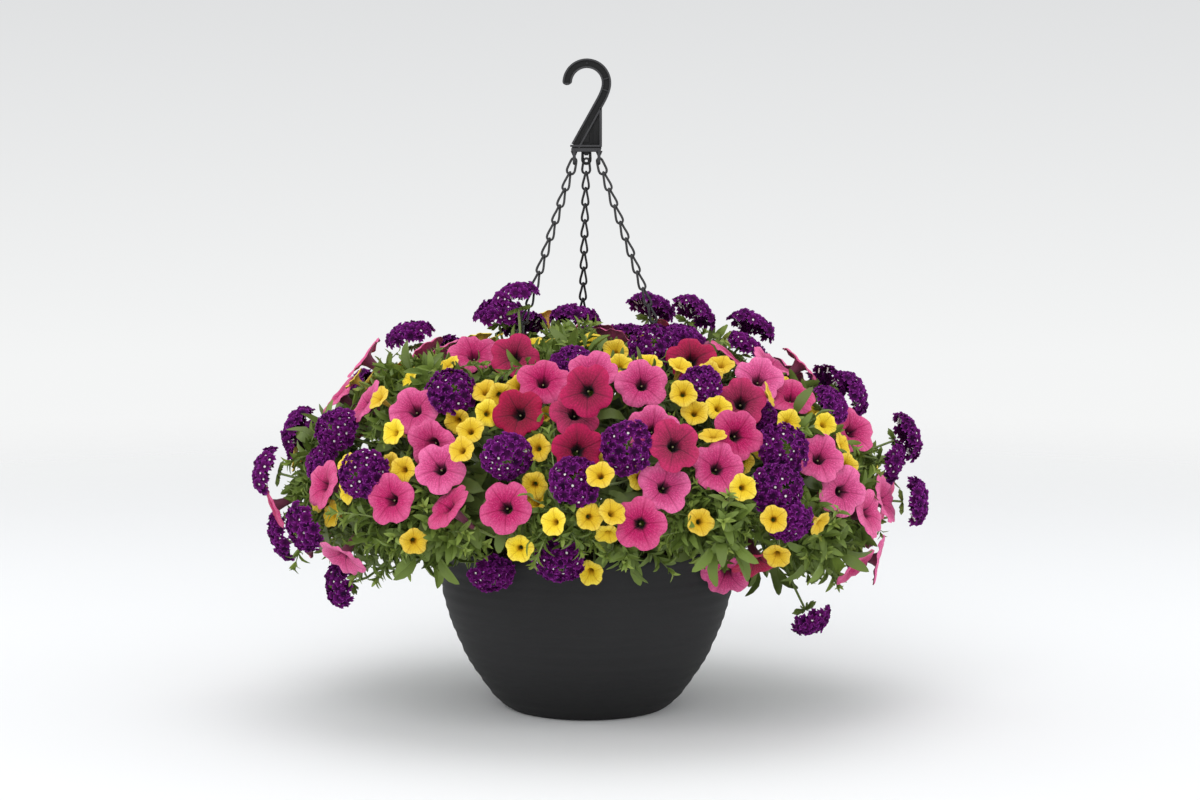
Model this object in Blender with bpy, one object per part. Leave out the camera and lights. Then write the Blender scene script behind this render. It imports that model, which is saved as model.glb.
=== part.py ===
"""A flowering hanging basket: a ringed round pot on a hook and three chains, planted with pink and magenta
petunias, yellow calibrachoa, purple verbena and leafy stems.

Units are metres and +Z is up. The origin is the hook's seat, the point under its arch where it hangs.
Heights in the constants are measured up from the pot's base, and place() moves them to the origin.
"""

import math
import random

import bmesh
import bpy
from mathutils import Matrix, Vector
from mathutils.bvhtree import BVHTree

SEED = 27
SEAT_HEIGHT = 0.638

# The pot: (radius, height) up its outer side, with shallow rings, then its wall and rim
POT_SIDES = 28
POT_BASE_RADIUS = 0.080
POT_SIDE = [
    (0.0865, 0.004), (0.0975, 0.015), (0.1160, 0.042), (0.1225, 0.053), (0.1338, 0.079),
    (0.1380, 0.090), (0.1445, 0.113), (0.1500, 0.148),
]
POT_WALL = 0.003
INNER_HEIGHTS = (0.010, 0.042, 0.090, 0.148)
RIM_RADIUS = 0.158
RIM_HEIGHT = 0.172
RIM_LIP = 0.006
DRAINS = 4
DRAIN_RADIUS = 0.006
DRAIN_CIRCLE = 0.050
EYE_RADIUS = 0.0065
EYE_WIRE = 0.0019
EYE_CIRCLE = 0.1545
EYE_SINK = 0.0022

# The soil fills the pot to a little under the rim
SOIL_HEIGHT = 0.150
SOIL_CROWN = 0.156
SOIL_GAP = 0.0005
STEM_HOLE_DEPTH = 0.016
STEM_HOLE_GAP = 0.0006

# The hook: a flat moulded band bent into an arch, with a ribbed plate and three eyelets under it
HOOK_THICKNESS = 0.009
BAND_WIDTH = 0.0095
ARCH_RADIUS = 0.01945
CHANNEL_DEPTH = 0.0024
CHANNEL_EDGE = 0.0019
LEG_TOP, LEG_FOOT = (0.0166, -0.0268), -0.0112
PLATE_THICKNESS = 0.0040
PLATE_TOP, PLATE_TOP_SHARE = -0.0400, 0.09
RIB_WIDTH, RIB_TOP = 0.0026, -0.0385
BAR_LEFT, BAR_RIGHT = -0.0165, 0.0150
BAR_TOP, BAR_BOTTOM = -0.0765, -0.0825
EYELET_ACROSS = (-0.0125, -0.0005, 0.0120)
EYELET_DROP = 0.0115
EYELET_WIDTH = 0.0075
EYELET_WIRE = 0.00165

# The chains: twisted pear links, with a round link at the hook and a long clip at the pot
CHAIN_TURNS = (math.radians(-124), math.radians(-4), math.radians(116))
LINK_PITCH = 0.0185
LINK_HALF_WIDTH = 0.0033
LINK_WIDEST = 0.68
LINK_WIRE = 0.00105
LINK_KNOT = 0.0013
END_LINK = 0.0145
END_HALF_WIDTH = 0.0047
END_SHOULDER = 0.0046
CLIP_LENGTH = 0.0520

# The mound of flowers: (radius, height) down its side at the widest, from the crown to under the skirt
MOUND = [
    (0.000, 0.368), (0.110, 0.364), (0.190, 0.347), (0.250, 0.307),
    (0.292, 0.255), (0.306, 0.205), (0.290, 0.160), (0.240, 0.138), (0.185, 0.128),
]
MOUND_DEPTH_SHARE = 0.84
SKIRT_HEIGHT = 0.245
SKIRT_LIFT = 0.046
EYE_POINT = Vector((0.013, -2.785, 0.601))
MOUND_SIDES = 48
FRONT_LOOK = (0.55, 0.75)
OUTWARD_LOOK = 0.45
FACING_WANDER = 0.22
HIDDEN_BY = 0.030
SEARCH_STEP, SEARCH_STEPS = 0.015, range(-14, 8)

# Growing: each plant is a stem from the soil to a fork, a small many-sided hub, which its stalks leave
STEM_RADIUS = 0.0019
STEM_HOLES_RADIUS = 0.118
STALK_RADIUS = 0.0011
HUB_RADIUS = 0.0046
HUB_CLEAR = 0.0125
HUB_SIDE = Vector((0.31, 0.87, 0.4))
STEEPEST = 0.25
NEAR_SHARE = 1.5
LEAST_SPREAD = 0.07
STEM_TRIES = 24
GROWN = 0.0005
HUB_SHARE = 0.60
FORK_OVER_RIM = 0.020
HEART = (0.0, 0.0, 0.225)
CROWN_FACES = 0.93
STEM_ARCH = 0.055
SHORTEST_STALK = 0.022
BLOOM_ASIDES = (0.006, 0.012, 0.018, 0.024)
BLOOM_SHIFTS = (0.0, -0.008, 0.008, -0.016, 0.016, -0.024, 0.024, -0.034, 0.034, -0.044, 0.044)

# The blooms: petunia and calibrachoa funnels, and verbena heads of florets on a small core
PETUNIA_RADIUS, PETUNIA_NOTCH = 0.0255, 0.0220
PETUNIA_DEPTH, PETUNIA_THROAT = 0.036, 0.010
PETUNIA_TUBE = 0.0060
CALIBRACHOA_RADIUS, CALIBRACHOA_DEPTH, CALIBRACHOA_THROAT = 0.0132, 0.017, 0.0055
VERBENA_CORE, VERBENA_RADIUS, FLORET_RADIUS = 0.0115, 0.0200, 0.0112
FLORETS = 7

# The leaves: length, width at the middle, and the depth of the rib under the blade
LEAF_LENGTHS = (0.050, 0.042, 0.034, 0.027)
LEAF_WIDTH_SHARE = 0.42
LEAF_RIB = 0.0016
LEAF_MIDDLE = 0.50
LEAF_ARCH = 0.10
LEAF_LIFT = 0.6
TUFT_INSET = 0.026
TUFT_LEAVES = 10

COLOURS = {
    "pot": (0.045, 0.047, 0.048),
    "soil": (0.060, 0.042, 0.030),
    "hook": (0.030, 0.032, 0.033),
    "chain": (0.025, 0.026, 0.027),
    "leafy_stem": (0.130, 0.250, 0.050),
    "petunia": (0.800, 0.110, 0.330),
    "petunia_deep": (0.520, 0.010, 0.120),
    "calibrachoa": (0.900, 0.620, 0.030),
    "verbena": (0.170, 0.012, 0.250),
}

# Blooms seen from the front, as (right of the axis, above the base) in millimetres. Those in "front" face
# the viewer, and those in "outward" face away from the mound.
SEEN = {
    "petunia": {
        "front": [
            (-113, 355), (-173, 299), (-148, 240), (-141, 202), (-198, 208), (-82, 200), (-44, 328),
            (-19, 373), (55, 325), (66, 278), (53, 183), (78, 221), (131, 240), (257, 216), (266, 278),
            (140, 131), (172, 330), (5, 336), (204, 313), (233, 251), (150, 273), (-156, 263),
        ],
        "outward": [
            (-223, 351), (-249, 315), (-223, 306), (-266, 223), (-317, 200), (-247, 148), (215, 346),
            (300, 208), (295, 146), (271, 138), (284, 195), (-165, 356), (-148, 358), (19, 373),
            (145, 353), (186, 346),
        ],
    },
    "petunia_deep": {
        "front": [
            (-72, 353), (-69, 295), (-12, 296), (-9, 258), (105, 350), (0, 318), (154, 306), (88, 263),
        ],
        "outward": [(84, 372), (172, 143)],
    },
    "calibrachoa": {
        "front": [
            (-194, 276), (-165, 275), (-185, 238), (-174, 165), (-117, 278), (-99, 295), (-102, 318),
            (-87, 312), (-68, 322), (-50, 260), (-53, 222), (-52, 206), (-68, 158), (-34, 185), (3, 190),
            (26, 195), (18, 177), (0, 307), (5, 364), (32, 343), (28, 357), (54, 231), (108, 296),
            (132, 301), (123, 335), (134, 345), (126, 274), (114, 185), (155, 248), (157, 220),
            (171, 261), (188, 188), (191, 150), (202, 286), (238, 285), (259, 242), (3, 133), (9, 245),
            (-31, 239), (-127, 281), (-130, 253), (-197, 242), (96, 315), (13, 233), (-41, 298),
        ],
        "outward": [
            (-240, 243), (-217, 330), (-233, 330), (-209, 311), (-178, 330), (-242, 216), (-270, 208),
            (-263, 193), (-37, 368), (-43, 392), (-95, 370), (-107, 373), (-140, 345), (216, 298),
            (203, 323), (177, 315), (257, 263), (235, 183),
        ],
    },
    "verbena": {
        "front": [
            (-15, 341), (65, 360), (-135, 314), (-249, 278), (-223, 233), (-81, 253), (-12, 225),
            (40, 261), (114, 320), (173, 288), (195, 258), (189, 218), (203, 188), (-96, 136),
            (-28, 148),
        ],
        "outward": [
            (-88, 390), (-62, 378), (-175, 368), (63, 395), (103, 392), (161, 378), (-285, 278),
            (-316, 236), (-262, 243), (235, 320), (260, 313), (314, 270), (298, 246), (323, 206),
            (223, 90), (-301, 173), (-280, 181), (-243, 123), (-12, 385), (155, 356), (240, 301),
        ],
    },
}

# Blooms out of that view, placed by rule: how many of each, and how far each keeps from the others
UNSEEN = {
    "petunia": (24, 0.046), "petunia_deep": (3, 0.046), "verbena": (18, 0.042), "calibrachoa": (28, 0.028),
}
UNSEEN_TRIES = 6000
UNDERSIDE = -0.75
SPRAYS = {"petunia": 12, "petunia_deep": 3, "verbena": 12, "calibrachoa": 13}
LEAFY_STEMS = 14
TUFTS = 34
TUFT_TRIES = 60
TUFT_APART = 0.12
PETAL_ROOM = 1.2


# Small helpers
def place(x, y, height):
    """A point given by its height above the pot's base."""
    return Vector((x, y, height - SEAT_HEIGHT))


def square_to(axis, hint):
    """The direction nearest hint that is square to axis."""
    flat = hint - axis * hint.dot(axis)
    return flat.normalized() if flat.length > 1e-6 else axis.orthogonal().normalized()


def circle(centre, axis, side, radii, lifts=(0.0,)):
    """Corners round an axis, anticlockwise, the first towards side. Each has its radius and its lift."""
    first = square_to(axis, side)
    second = axis.cross(first)
    corners = []
    for i, radius in enumerate(radii):
        turn = math.tau * i / len(radii)
        out = first * math.cos(turn) + second * math.sin(turn)
        corners.append(centre + out * radius + axis * lifts[i % len(lifts)])
    return corners


def band(lower, upper):
    """The triangles between two rings of corners, whose numbers may differ."""
    a, b, n, m = 0, 0, len(lower), len(upper)
    while a < n or b < m:
        if b == m or (a < n and (a + 1) * m <= (b + 1) * n):
            yield lower[a % n], lower[(a + 1) % n], upper[b % m]
            a += 1
        else:
            yield lower[a % n], upper[(b + 1) % m], upper[b % m]
            b += 1


def cap(corners, tip):
    """The triangles from a ring to a point beyond it."""
    return [(corners[i - 1], corners[i], tip) for i in range(len(corners))]


def finished(name, bm, kind):
    """A named object made of bm, with the material of its kind."""
    mesh = bpy.data.meshes.new(name)
    bm.to_mesh(mesh)
    bm.free()
    mesh.materials.append(material(kind))
    piece = bpy.data.objects.new(name, mesh)
    bpy.context.collection.objects.link(piece)
    return piece


def material(kind):
    """The plain material of a kind of piece."""
    made = bpy.data.materials.get(kind)
    if made is None:
        made = bpy.data.materials.new(kind)
        made.use_nodes = True
        shader = made.node_tree.nodes["Principled BSDF"]
        shader.inputs["Base Color"].default_value = (*COLOURS[kind], 1.0)
        shader.inputs["Roughness"].default_value = 0.6
        shader.inputs["Metallic"].default_value = 0.0
    return made


def fused(piece, others, operation):
    """Joins others to piece, or cuts them from it, in one Boolean, and removes them."""
    group = bpy.data.collections.new(piece.name + "_tools")
    bpy.context.scene.collection.children.link(group)
    for other in others:
        bpy.context.collection.objects.unlink(other)
        group.objects.link(other)
    boolean = piece.modifiers.new("boolean", "BOOLEAN")
    boolean.operation = operation
    boolean.solver = "EXACT"
    boolean.operand_type = "COLLECTION"
    boolean.collection = group
    graph = bpy.context.evaluated_depsgraph_get()
    mesh = bpy.data.meshes.new_from_object(piece.evaluated_get(graph))
    piece.modifiers.clear()
    piece.data = mesh
    for other in others:
        bpy.data.objects.remove(other)
    bpy.data.collections.remove(group)
    return piece


def triangles_of(points, faces):
    """The corners of each triangle."""
    return [tuple(points[i] for i in face) for face in faces]


def swollen(points, faces, by):
    """The points moved outwards, for testing how near a shape comes to others."""
    normals = [Vector() for _ in points]
    for face in faces:
        a, b, c = (points[i] for i in face)
        normal = (b - a).cross(c - a)
        for i in face:
            normals[i] += normal.normalized()
    return [point + normal.normalized() * by for point, normal in zip(points, normals)]


class Ground:
    """The space taken so far, so that nothing new crosses it."""

    def __init__(self):
        self.taken = []

    def add(self, triangles, owner=None):
        """Takes the space of some triangles. An owner's own stalks may cross what it keeps free."""
        corners = [corner for triangle in triangles for corner in triangle]
        low = [min(p[k] for p in corners) for k in range(3)]
        high = [max(p[k] for p in corners) for k in range(3)]
        self.taken.append((self.tree(corners), low, high, owner))

    def tree(self, corners):
        return BVHTree.FromPolygons(corners, [(i, i + 1, i + 2) for i in range(0, len(corners), 3)])

    def free(self, triangles, owner=None):
        """True if the triangles cross nothing placed so far."""
        corners = [corner for triangle in triangles for corner in triangle]
        low = [min(p[k] for p in corners) for k in range(3)]
        high = [max(p[k] for p in corners) for k in range(3)]
        tree = None
        for other, other_low, other_high, other_owner in self.taken:
            if other_owner is not None and other_owner == owner:
                continue
            if (
                low[0] > other_high[0] or high[0] < other_low[0] or low[1] > other_high[1]
                or high[1] < other_low[1] or low[2] > other_high[2] or high[2] < other_low[2]
            ):
                continue
            tree = tree or self.tree(corners)
            if tree.overlap(other):
                return False
        return True

    def add_object(self, piece):
        """Takes the space of a finished object."""
        mesh = piece.data
        mesh.calc_loop_triangles()
        points = [vertex.co.copy() for vertex in mesh.vertices]
        self.add(triangles_of(points, [face.vertices for face in mesh.loop_triangles]))


# The holder: pot, soil, hook and chains
def turned(name, kind, profile, sides):
    """A solid of revolution from (radius, height) points that start and end on the axis."""
    bm = bmesh.new()
    turns = [math.tau * i / sides for i in range(sides)]
    rings = [[place(r * math.cos(turn), r * math.sin(turn), h) for turn in turns] for r, h in profile[1:-1]]
    first = bm.verts.new(place(0, 0, profile[0][1]))
    last = bm.verts.new(place(0, 0, profile[-1][1]))
    rings = [[bm.verts.new(corner) for corner in ring] for ring in rings]
    for face in cap(list(reversed(rings[0])), first):
        bm.faces.new(face)
    for lower, upper in zip(rings, rings[1:]):
        for face in band(lower, upper):
            bm.faces.new(face)
    for face in cap(rings[-1], last):
        bm.faces.new(face)
    bmesh.ops.recalc_face_normals(bm, faces=bm.faces)
    return finished(name, bm, kind)


def wall_radius(height):
    """The pot's outer radius at a height, along its side."""
    for (r0, h0), (r1, h1) in zip(POT_SIDE, POT_SIDE[1:]):
        if h0 <= height <= h1:
            return r0 + (r1 - r0) * (height - h0) / (h1 - h0)
    return POT_SIDE[0][0] if height < POT_SIDE[0][1] else POT_SIDE[-1][0]


def prism(name, spot, radius, low, high, sides, towards):
    """A plain upright prism between two heights, used as a cutter, with a corner towards a direction."""
    up = Vector((0, 0, 1))
    lower = circle(place(*spot, low), up, towards, [radius] * sides)
    upper = circle(place(*spot, high), up, towards, [radius] * sides)
    bm = bmesh.new()
    lower, upper = ([bm.verts.new(corner) for corner in ring] for ring in (lower, upper))
    for face in band(lower, upper):
        bm.faces.new(face)
    bm.faces.new(reversed(lower))
    bm.faces.new(upper)
    return finished(name, bm, "soil")


def loop_of_wire(name, kind, path, wire, sides):
    """A closed ring of wire through the points of path."""
    bm = bmesh.new()
    rings = []
    for i, point in enumerate(path):
        along = (path[(i + 1) % len(path)] - path[i - 1]).normalized()
        middle = sum(path, Vector()) / len(path)
        rings.append([bm.verts.new(c) for c in circle(point, along, middle - point, [wire] * sides)])
    for lower, upper in zip(rings, rings[1:] + rings[:1]):
        for face in band(lower, upper):
            bm.faces.new(face)
    bmesh.ops.recalc_face_normals(bm, faces=bm.faces)
    return finished(name, bm, kind)


def out_along(turn):
    """The level direction at a turn round the axis, from the back of the pot towards +X."""
    return Vector((math.sin(turn), math.cos(turn), 0.0))


def make_pot():
    """The pot: ringed outside, plain inside, with a rolled rim, drain holes and three eyes for chains."""
    outer = [(0.0, 0.0), (POT_BASE_RADIUS, 0.0), *POT_SIDE]
    lip = [
        (RIM_RADIUS - 0.004, RIM_HEIGHT - RIM_LIP - 0.006), (RIM_RADIUS, RIM_HEIGHT - RIM_LIP),
        (RIM_RADIUS - 0.001, RIM_HEIGHT), (RIM_RADIUS - 0.008, RIM_HEIGHT - 0.001),
    ]
    inner = [(wall_radius(h) - POT_WALL, h) for h in reversed(INNER_HEIGHTS)]
    inner += [(POT_BASE_RADIUS - 0.004, 0.004), (0.0, 0.004)]
    pot = turned("pot", "pot", outer + lip + inner, POT_SIDES)
    drains = []
    for i in range(DRAINS):
        turn = math.tau * (i + 0.5) / DRAINS
        spot = (DRAIN_CIRCLE * math.cos(turn), DRAIN_CIRCLE * math.sin(turn))
        drains.append(prism(f"drain_{i}", spot, DRAIN_RADIUS, -0.010, 0.020, 6, Vector((1, 0, 0))))
    fused(pot, drains, "DIFFERENCE")
    eyes = []
    for i, turn in enumerate(CHAIN_TURNS):
        out = out_along(turn)
        centre = place(*(out * EYE_CIRCLE).xy, RIM_HEIGHT + EYE_RADIUS - EYE_SINK)
        path = circle(centre, Vector((0, 0, 1)).cross(out), out, [EYE_RADIUS] * 6)
        eyes.append(loop_of_wire(f"eye_{i}", "pot", path, EYE_WIRE, 3))
    return fused(pot, eyes, "UNION")


def make_soil(holes):
    """The soil, clear of the pot all round, with a plain hole for each stem."""
    low = 0.004 + SOIL_GAP
    side = [(POT_BASE_RADIUS - 0.005 - SOIL_GAP, low)]
    side += [(wall_radius(h) - POT_WALL - 2 * SOIL_GAP, h + SOIL_GAP) for h in INNER_HEIGHTS]
    profile = [(0.0, low), *side, (side[-1][0] - 0.012, SOIL_HEIGHT + 0.001), (0.0, SOIL_CROWN)]
    soil = turned("soil", "soil", profile, POT_SIDES)
    return fused(soil, holes, "DIFFERENCE")


def hook_outline():
    """The middle line of the hook's band, as (across, up) points: arch, bend and slanting leg."""
    arch = []
    steps = 10
    for i in range(steps + 1):
        turn = math.radians(186 - (186 + 12) * i / steps)
        x, z = ARCH_RADIUS * math.cos(turn), ARCH_RADIUS * math.sin(turn)
        arch.append((x, z - ARCH_RADIUS + BAND_WIDTH / 2))
    return [*arch, LEG_TOP, (LEG_FOOT, BAR_TOP)]


def bar(name, low, high, top_share=1.0):
    """A block between two corners, narrowed across its top."""
    bm = bmesh.new()
    centre, size = (low + high) / 2, high - low
    bmesh.ops.create_cube(bm, size=1.0, matrix=Matrix.Translation(centre) @ Matrix.Diagonal((*size, 1.0)))
    for vertex in bm.verts:
        if vertex.co.z > centre.z:
            vertex.co.x = high.x + (vertex.co.x - high.x) * top_share
    return finished(name, bm, "hook")


def make_hook():
    """The hook: a channelled band, a thin plate in its corner, a cross bar and three hanging eyelets."""
    line = [Vector((x, 0.0, z)) for x, z in hook_outline()]
    half, depth = BAND_WIDTH / 2, HOOK_THICKNESS / 2
    bm = bmesh.new()
    fronts, backs = [], []
    for i, point in enumerate(line):
        before, after = line[max(i - 1, 0)], line[min(i + 1, len(line) - 1)]
        along = (after - before).normalized()
        out = Vector((along.z, 0.0, -along.x))
        inner, outer = point - out * half, point + out * half
        fronts.append([bm.verts.new(p - Vector((0, depth, 0))) for p in (inner, outer)])
        backs.append([bm.verts.new(p + Vector((0, depth, 0))) for p in (inner, outer)])
    wide = []
    for i in range(len(line) - 1):
        wide.append(bm.faces.new((fronts[i][0], fronts[i][1], fronts[i + 1][1], fronts[i + 1][0])))
        wide.append(bm.faces.new((backs[i][1], backs[i][0], backs[i + 1][0], backs[i + 1][1])))
        bm.faces.new((fronts[i][1], backs[i][1], backs[i + 1][1], fronts[i + 1][1]))
        bm.faces.new((fronts[i][0], fronts[i + 1][0], backs[i + 1][0], backs[i][0]))
    for end, order in ((0, (0, 1)), (-1, (1, 0))):
        a, b = order
        bm.faces.new((fronts[end][b], fronts[end][a], backs[end][a], backs[end][b]))
    bmesh.ops.recalc_face_normals(bm, faces=bm.faces)
    for faces in (wide[0::2], wide[1::2]):
        bmesh.ops.inset_region(
            bm, faces=faces, thickness=CHANNEL_EDGE, depth=-CHANNEL_DEPTH, use_even_offset=True
        )
    hook = finished("hook", bm, "hook")
    web = PLATE_THICKNESS / 2
    low = Vector((BAR_LEFT + 0.002, -web, BAR_BOTTOM + 0.001))
    plate = bar("plate", low, Vector((BAR_RIGHT - 0.0006, web, PLATE_TOP)), PLATE_TOP_SHARE)
    low = Vector((BAR_RIGHT - RIB_WIDTH, -depth, BAR_TOP - 0.001))
    rib = bar("rib", low, Vector((BAR_RIGHT, depth, RIB_TOP)))
    foot = bar("foot", Vector((BAR_LEFT, -depth, BAR_BOTTOM)), Vector((BAR_RIGHT, depth, BAR_TOP + 0.001)))
    eyelets = []
    for i, x in enumerate(EYELET_ACROSS):
        wide = Vector((1, 0, 0)) if i == 1 else Vector((0, 1, 0))
        top, low = BAR_BOTTOM + 0.0015, BAR_BOTTOM - EYELET_DROP
        half_width = EYELET_WIDTH / 2
        path = [
            Vector((x, 0, top)) - wide * half_width, Vector((x, 0, low + 0.003)) - wide * half_width,
            Vector((x, 0, low)) - wide * half_width * 0.45, Vector((x, 0, low)) + wide * half_width * 0.45,
            Vector((x, 0, low + 0.003)) + wide * half_width, Vector((x, 0, top)) + wide * half_width,
        ]
        eyelets.append(loop_of_wire(f"eyelet_{i}", "hook", path, EYELET_WIRE, 3))
    return fused(hook, [plate, rib, foot, *eyelets], "UNION")


def chain_ends(i):
    """Where chain i leaves its eyelet and where it meets its eye."""
    top = Vector((EYELET_ACROSS[i], 0.0, BAR_BOTTOM - EYELET_DROP + EYELET_WIRE + LINK_KNOT * 2))
    out = out_along(CHAIN_TURNS[i])
    low = place(*(out * EYE_CIRCLE).xy, RIM_HEIGHT + 2 * EYE_RADIUS - EYE_SINK - EYE_WIRE - LINK_KNOT * 2)
    return top, low


def link_node(bm, centre, up, across):
    """The knot between two links: four corners whose upper faces look to the sides of the link above."""
    other = up.cross(across)
    high, low = centre + up * LINK_KNOT, centre - up * LINK_KNOT
    a, b = bm.verts.new(high + other * LINK_KNOT), bm.verts.new(high - other * LINK_KNOT)
    c, d = bm.verts.new(low + across * LINK_KNOT), bm.verts.new(low - across * LINK_KNOT)
    return {"above": [(a, b, c), (b, a, d)], "below": [(c, d, a), (d, c, b)], "other": other}


def wire_between(bm, upper_face, lower_face, path):
    """A three-sided wire from one knot's face down to the next one's, through the points of path."""
    last = upper_face
    for k, point in enumerate(path):
        before = middle_of([vertex.co for vertex in last])
        after = path[k + 1] if k + 1 < len(path) else middle_of([vertex.co for vertex in lower_face])
        corners = [vertex.co for vertex in last]
        ring = circle(point, (after - before).normalized(), corners[0] - before, [LINK_WIRE] * 3)
        fresh = [bm.verts.new(corner) for corner in ring]
        for face in band(last, fresh):
            bm.faces.new(face)
        last = fresh
    ends = list(last) + list(reversed(lower_face))
    points = [vertex.co for vertex in ends]
    for face in joined_rings((0, 1, 2), (3, 4, 5), points):
        bm.faces.new([ends[i] for i in face])


def make_chain(i):
    """A chain: a round link at its eyelet, kite links a quarter turn apart, and a long clip at its eye."""
    top, low = chain_ends(i)
    down = (low - top).normalized()
    in_eyelet = Vector((1, 0, 0)) if i == 1 else Vector((0, 1, 0))
    in_eye = out_along(CHAIN_TURNS[i]).cross(Vector((0, 0, 1)))
    length = (low - top).length
    count = round((length - END_LINK - CLIP_LENGTH) / LINK_PITCH)
    count += 1 - count % 2
    pitch = (length - END_LINK - CLIP_LENGTH) / count
    stops = [0.0] + [END_LINK + pitch * k for k in range(count + 1)] + [length]
    bm = bmesh.new()
    first, last = square_to(down, in_eyelet), square_to(down, in_eye)
    quarters = len(stops) - 1
    turned_first = Matrix.Rotation(quarters * math.pi / 2, 3, down) @ first
    twist = math.atan2(down.dot(turned_first.cross(last)), turned_first.dot(last))
    twist -= math.pi * round(twist / math.pi)
    nodes = []
    for k, stop in enumerate(stops):
        turn = k * (math.pi / 2 + twist / quarters)
        across = Matrix.Rotation(turn, 3, down) @ first
        nodes.append(link_node(bm, top + down * stop, -down, across))
    for k, (upper, lower) in enumerate(zip(nodes, nodes[1:])):
        start, end = top + down * stops[k], top + down * stops[k + 1]
        if k in (0, len(nodes) - 2):
            shoulders, half_width = (start + down * END_SHOULDER, end - down * END_SHOULDER), END_HALF_WIDTH
        else:
            shoulders, half_width = (start.lerp(end, LINK_WIDEST),), LINK_HALF_WIDTH
        for side, sign in ((0, 1), (1, -1)):
            path = [point + upper["other"] * sign * half_width for point in shoulders]
            wire_between(bm, upper["below"][side], lower["above"][1 - side], path)
    for face in (*nodes[0]["above"], *nodes[-1]["below"]):
        bm.faces.new(face)
    bmesh.ops.recalc_face_normals(bm, faces=bm.faces)
    return finished(f"chain_{i + 1}", bm, "chain")


# The mound: where the blooms and leaves stand
def mound_tree():
    """The mound's surface, as a search tree. It is only a guide and isn't built."""
    rings = []
    for radius, height in reversed(MOUND[1:]):
        low_share = max(0.0, (SKIRT_HEIGHT - height) / (SKIRT_HEIGHT - MOUND[-1][1]))
        ring = []
        for i in range(MOUND_SIDES):
            turn = math.tau * i / MOUND_SIDES
            lift = SKIRT_LIFT * low_share * math.sin(turn) ** 2
            across, deep = radius * math.cos(turn), radius * MOUND_DEPTH_SHARE * math.sin(turn)
            ring.append(place(across, deep, height + lift))
        rings.append(ring)
    faces = [face for lower, upper in zip(rings, rings[1:]) for face in band(lower, upper)]
    faces += cap(rings[-1], place(0, 0, MOUND[0][1]))
    corners = [corner for face in faces for corner in face]
    return BVHTree.FromPolygons(corners, [(i, i + 1, i + 2) for i in range(0, len(corners), 3)]), faces


def seen_spot(tree, across, height):
    """Where a bloom seen at (across, height) on the upright plane through the axis stands on the mound."""
    eye = place(*EYE_POINT)
    through = place(across / 1000, 0.0, height / 1000)
    way = (through - eye).normalized()
    point, normal, _, _ = tree.ray_cast(eye, way)
    if point is None:
        steps = [through + way * (SEARCH_STEP * k) for k in SEARCH_STEPS]
        point = min(steps, key=lambda step: tree.find_nearest(step)[3])
        normal = tree.find_nearest(point)[1]
    return point, normal, way


def wanted_blooms(tree, faces, rng):
    """Every bloom as [kind, place of its face, where it faces, the line it may be moved along]."""
    blooms = []
    for kind, views in SEEN.items():
        for view, spots in views.items():
            for across, height in spots:
                point, normal, way = seen_spot(tree, across, height)
                jitter = Vector([rng.uniform(-1, 1) for _ in range(3)]) * FACING_WANDER
                if view == "front":
                    facing = normal * FRONT_LOOK[0] - way * FRONT_LOOK[1] + jitter
                else:
                    facing = normal + Vector((point.x, point.y, 0)).normalized() * OUTWARD_LOOK + jitter
                blooms.append([kind, point, facing.normalized(), way])
    eye = place(*EYE_POINT)
    areas = [(b - a).cross(c - a).length for a, b, c in faces]
    for kind, (count, room) in UNSEEN.items():
        made = 0
        for _ in range(UNSEEN_TRIES):
            if made == count:
                break
            a, b, c = rng.choices(faces, areas)[0]
            u, v = sorted((rng.random(), rng.random()))
            point = a * u + b * (v - u) + c * (1 - v)
            normal = (b - a).cross(c - a).normalized()
            way = (point - eye).normalized()
            hit = tree.ray_cast(eye, way)[0]
            hidden = (hit - eye).length < (point - eye).length - HIDDEN_BY or normal.z > CROWN_FACES
            if not hidden or normal.z < UNDERSIDE:
                continue
            if min((point - other[1]).length for other in blooms) < room:
                continue
            jitter = Vector([rng.uniform(-1, 1) for _ in range(3)]) * FACING_WANDER
            facing = normal + Vector((point.x, point.y, 0)).normalized() * OUTWARD_LOOK + jitter
            blooms.append([kind, point, facing.normalized(), -normal])
            made += 1
    return blooms


def grouped(points, count):
    """The points shared out among count groups of neighbours, as lists of their numbers."""
    centres = [points[0]]
    while len(centres) < count:
        centres.append(max(points, key=lambda p: min((p - c).length for c in centres)))
    for _ in range(12):
        groups = [[] for _ in centres]
        for i, point in enumerate(points):
            groups[min(range(count), key=lambda k: (point - centres[k]).length)].append(i)
        centres = [
            sum((points[i] for i in group), Vector()) / len(group) if group else centres[k]
            for k, group in enumerate(groups)
        ]
    return [group for group in groups if group]


# The limbs: shapes that grow from the three corners of a hub's face
def limb(base, rings, tip=None):
    """The points and triangles of a limb through rings of corners, closed with a point or a flat end."""
    points, faces = list(base), []
    last = range(3)
    for ring in rings:
        fresh = range(len(points), len(points) + len(ring))
        points += ring
        faces += band(last, fresh)
        last = fresh
    if tip is None:
        faces.append(tuple(last))
    else:
        points.append(tip)
        faces += cap(last, len(points) - 1)
    return points, faces


def middle_of(points):
    return sum(points, Vector()) / len(points)


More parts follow.
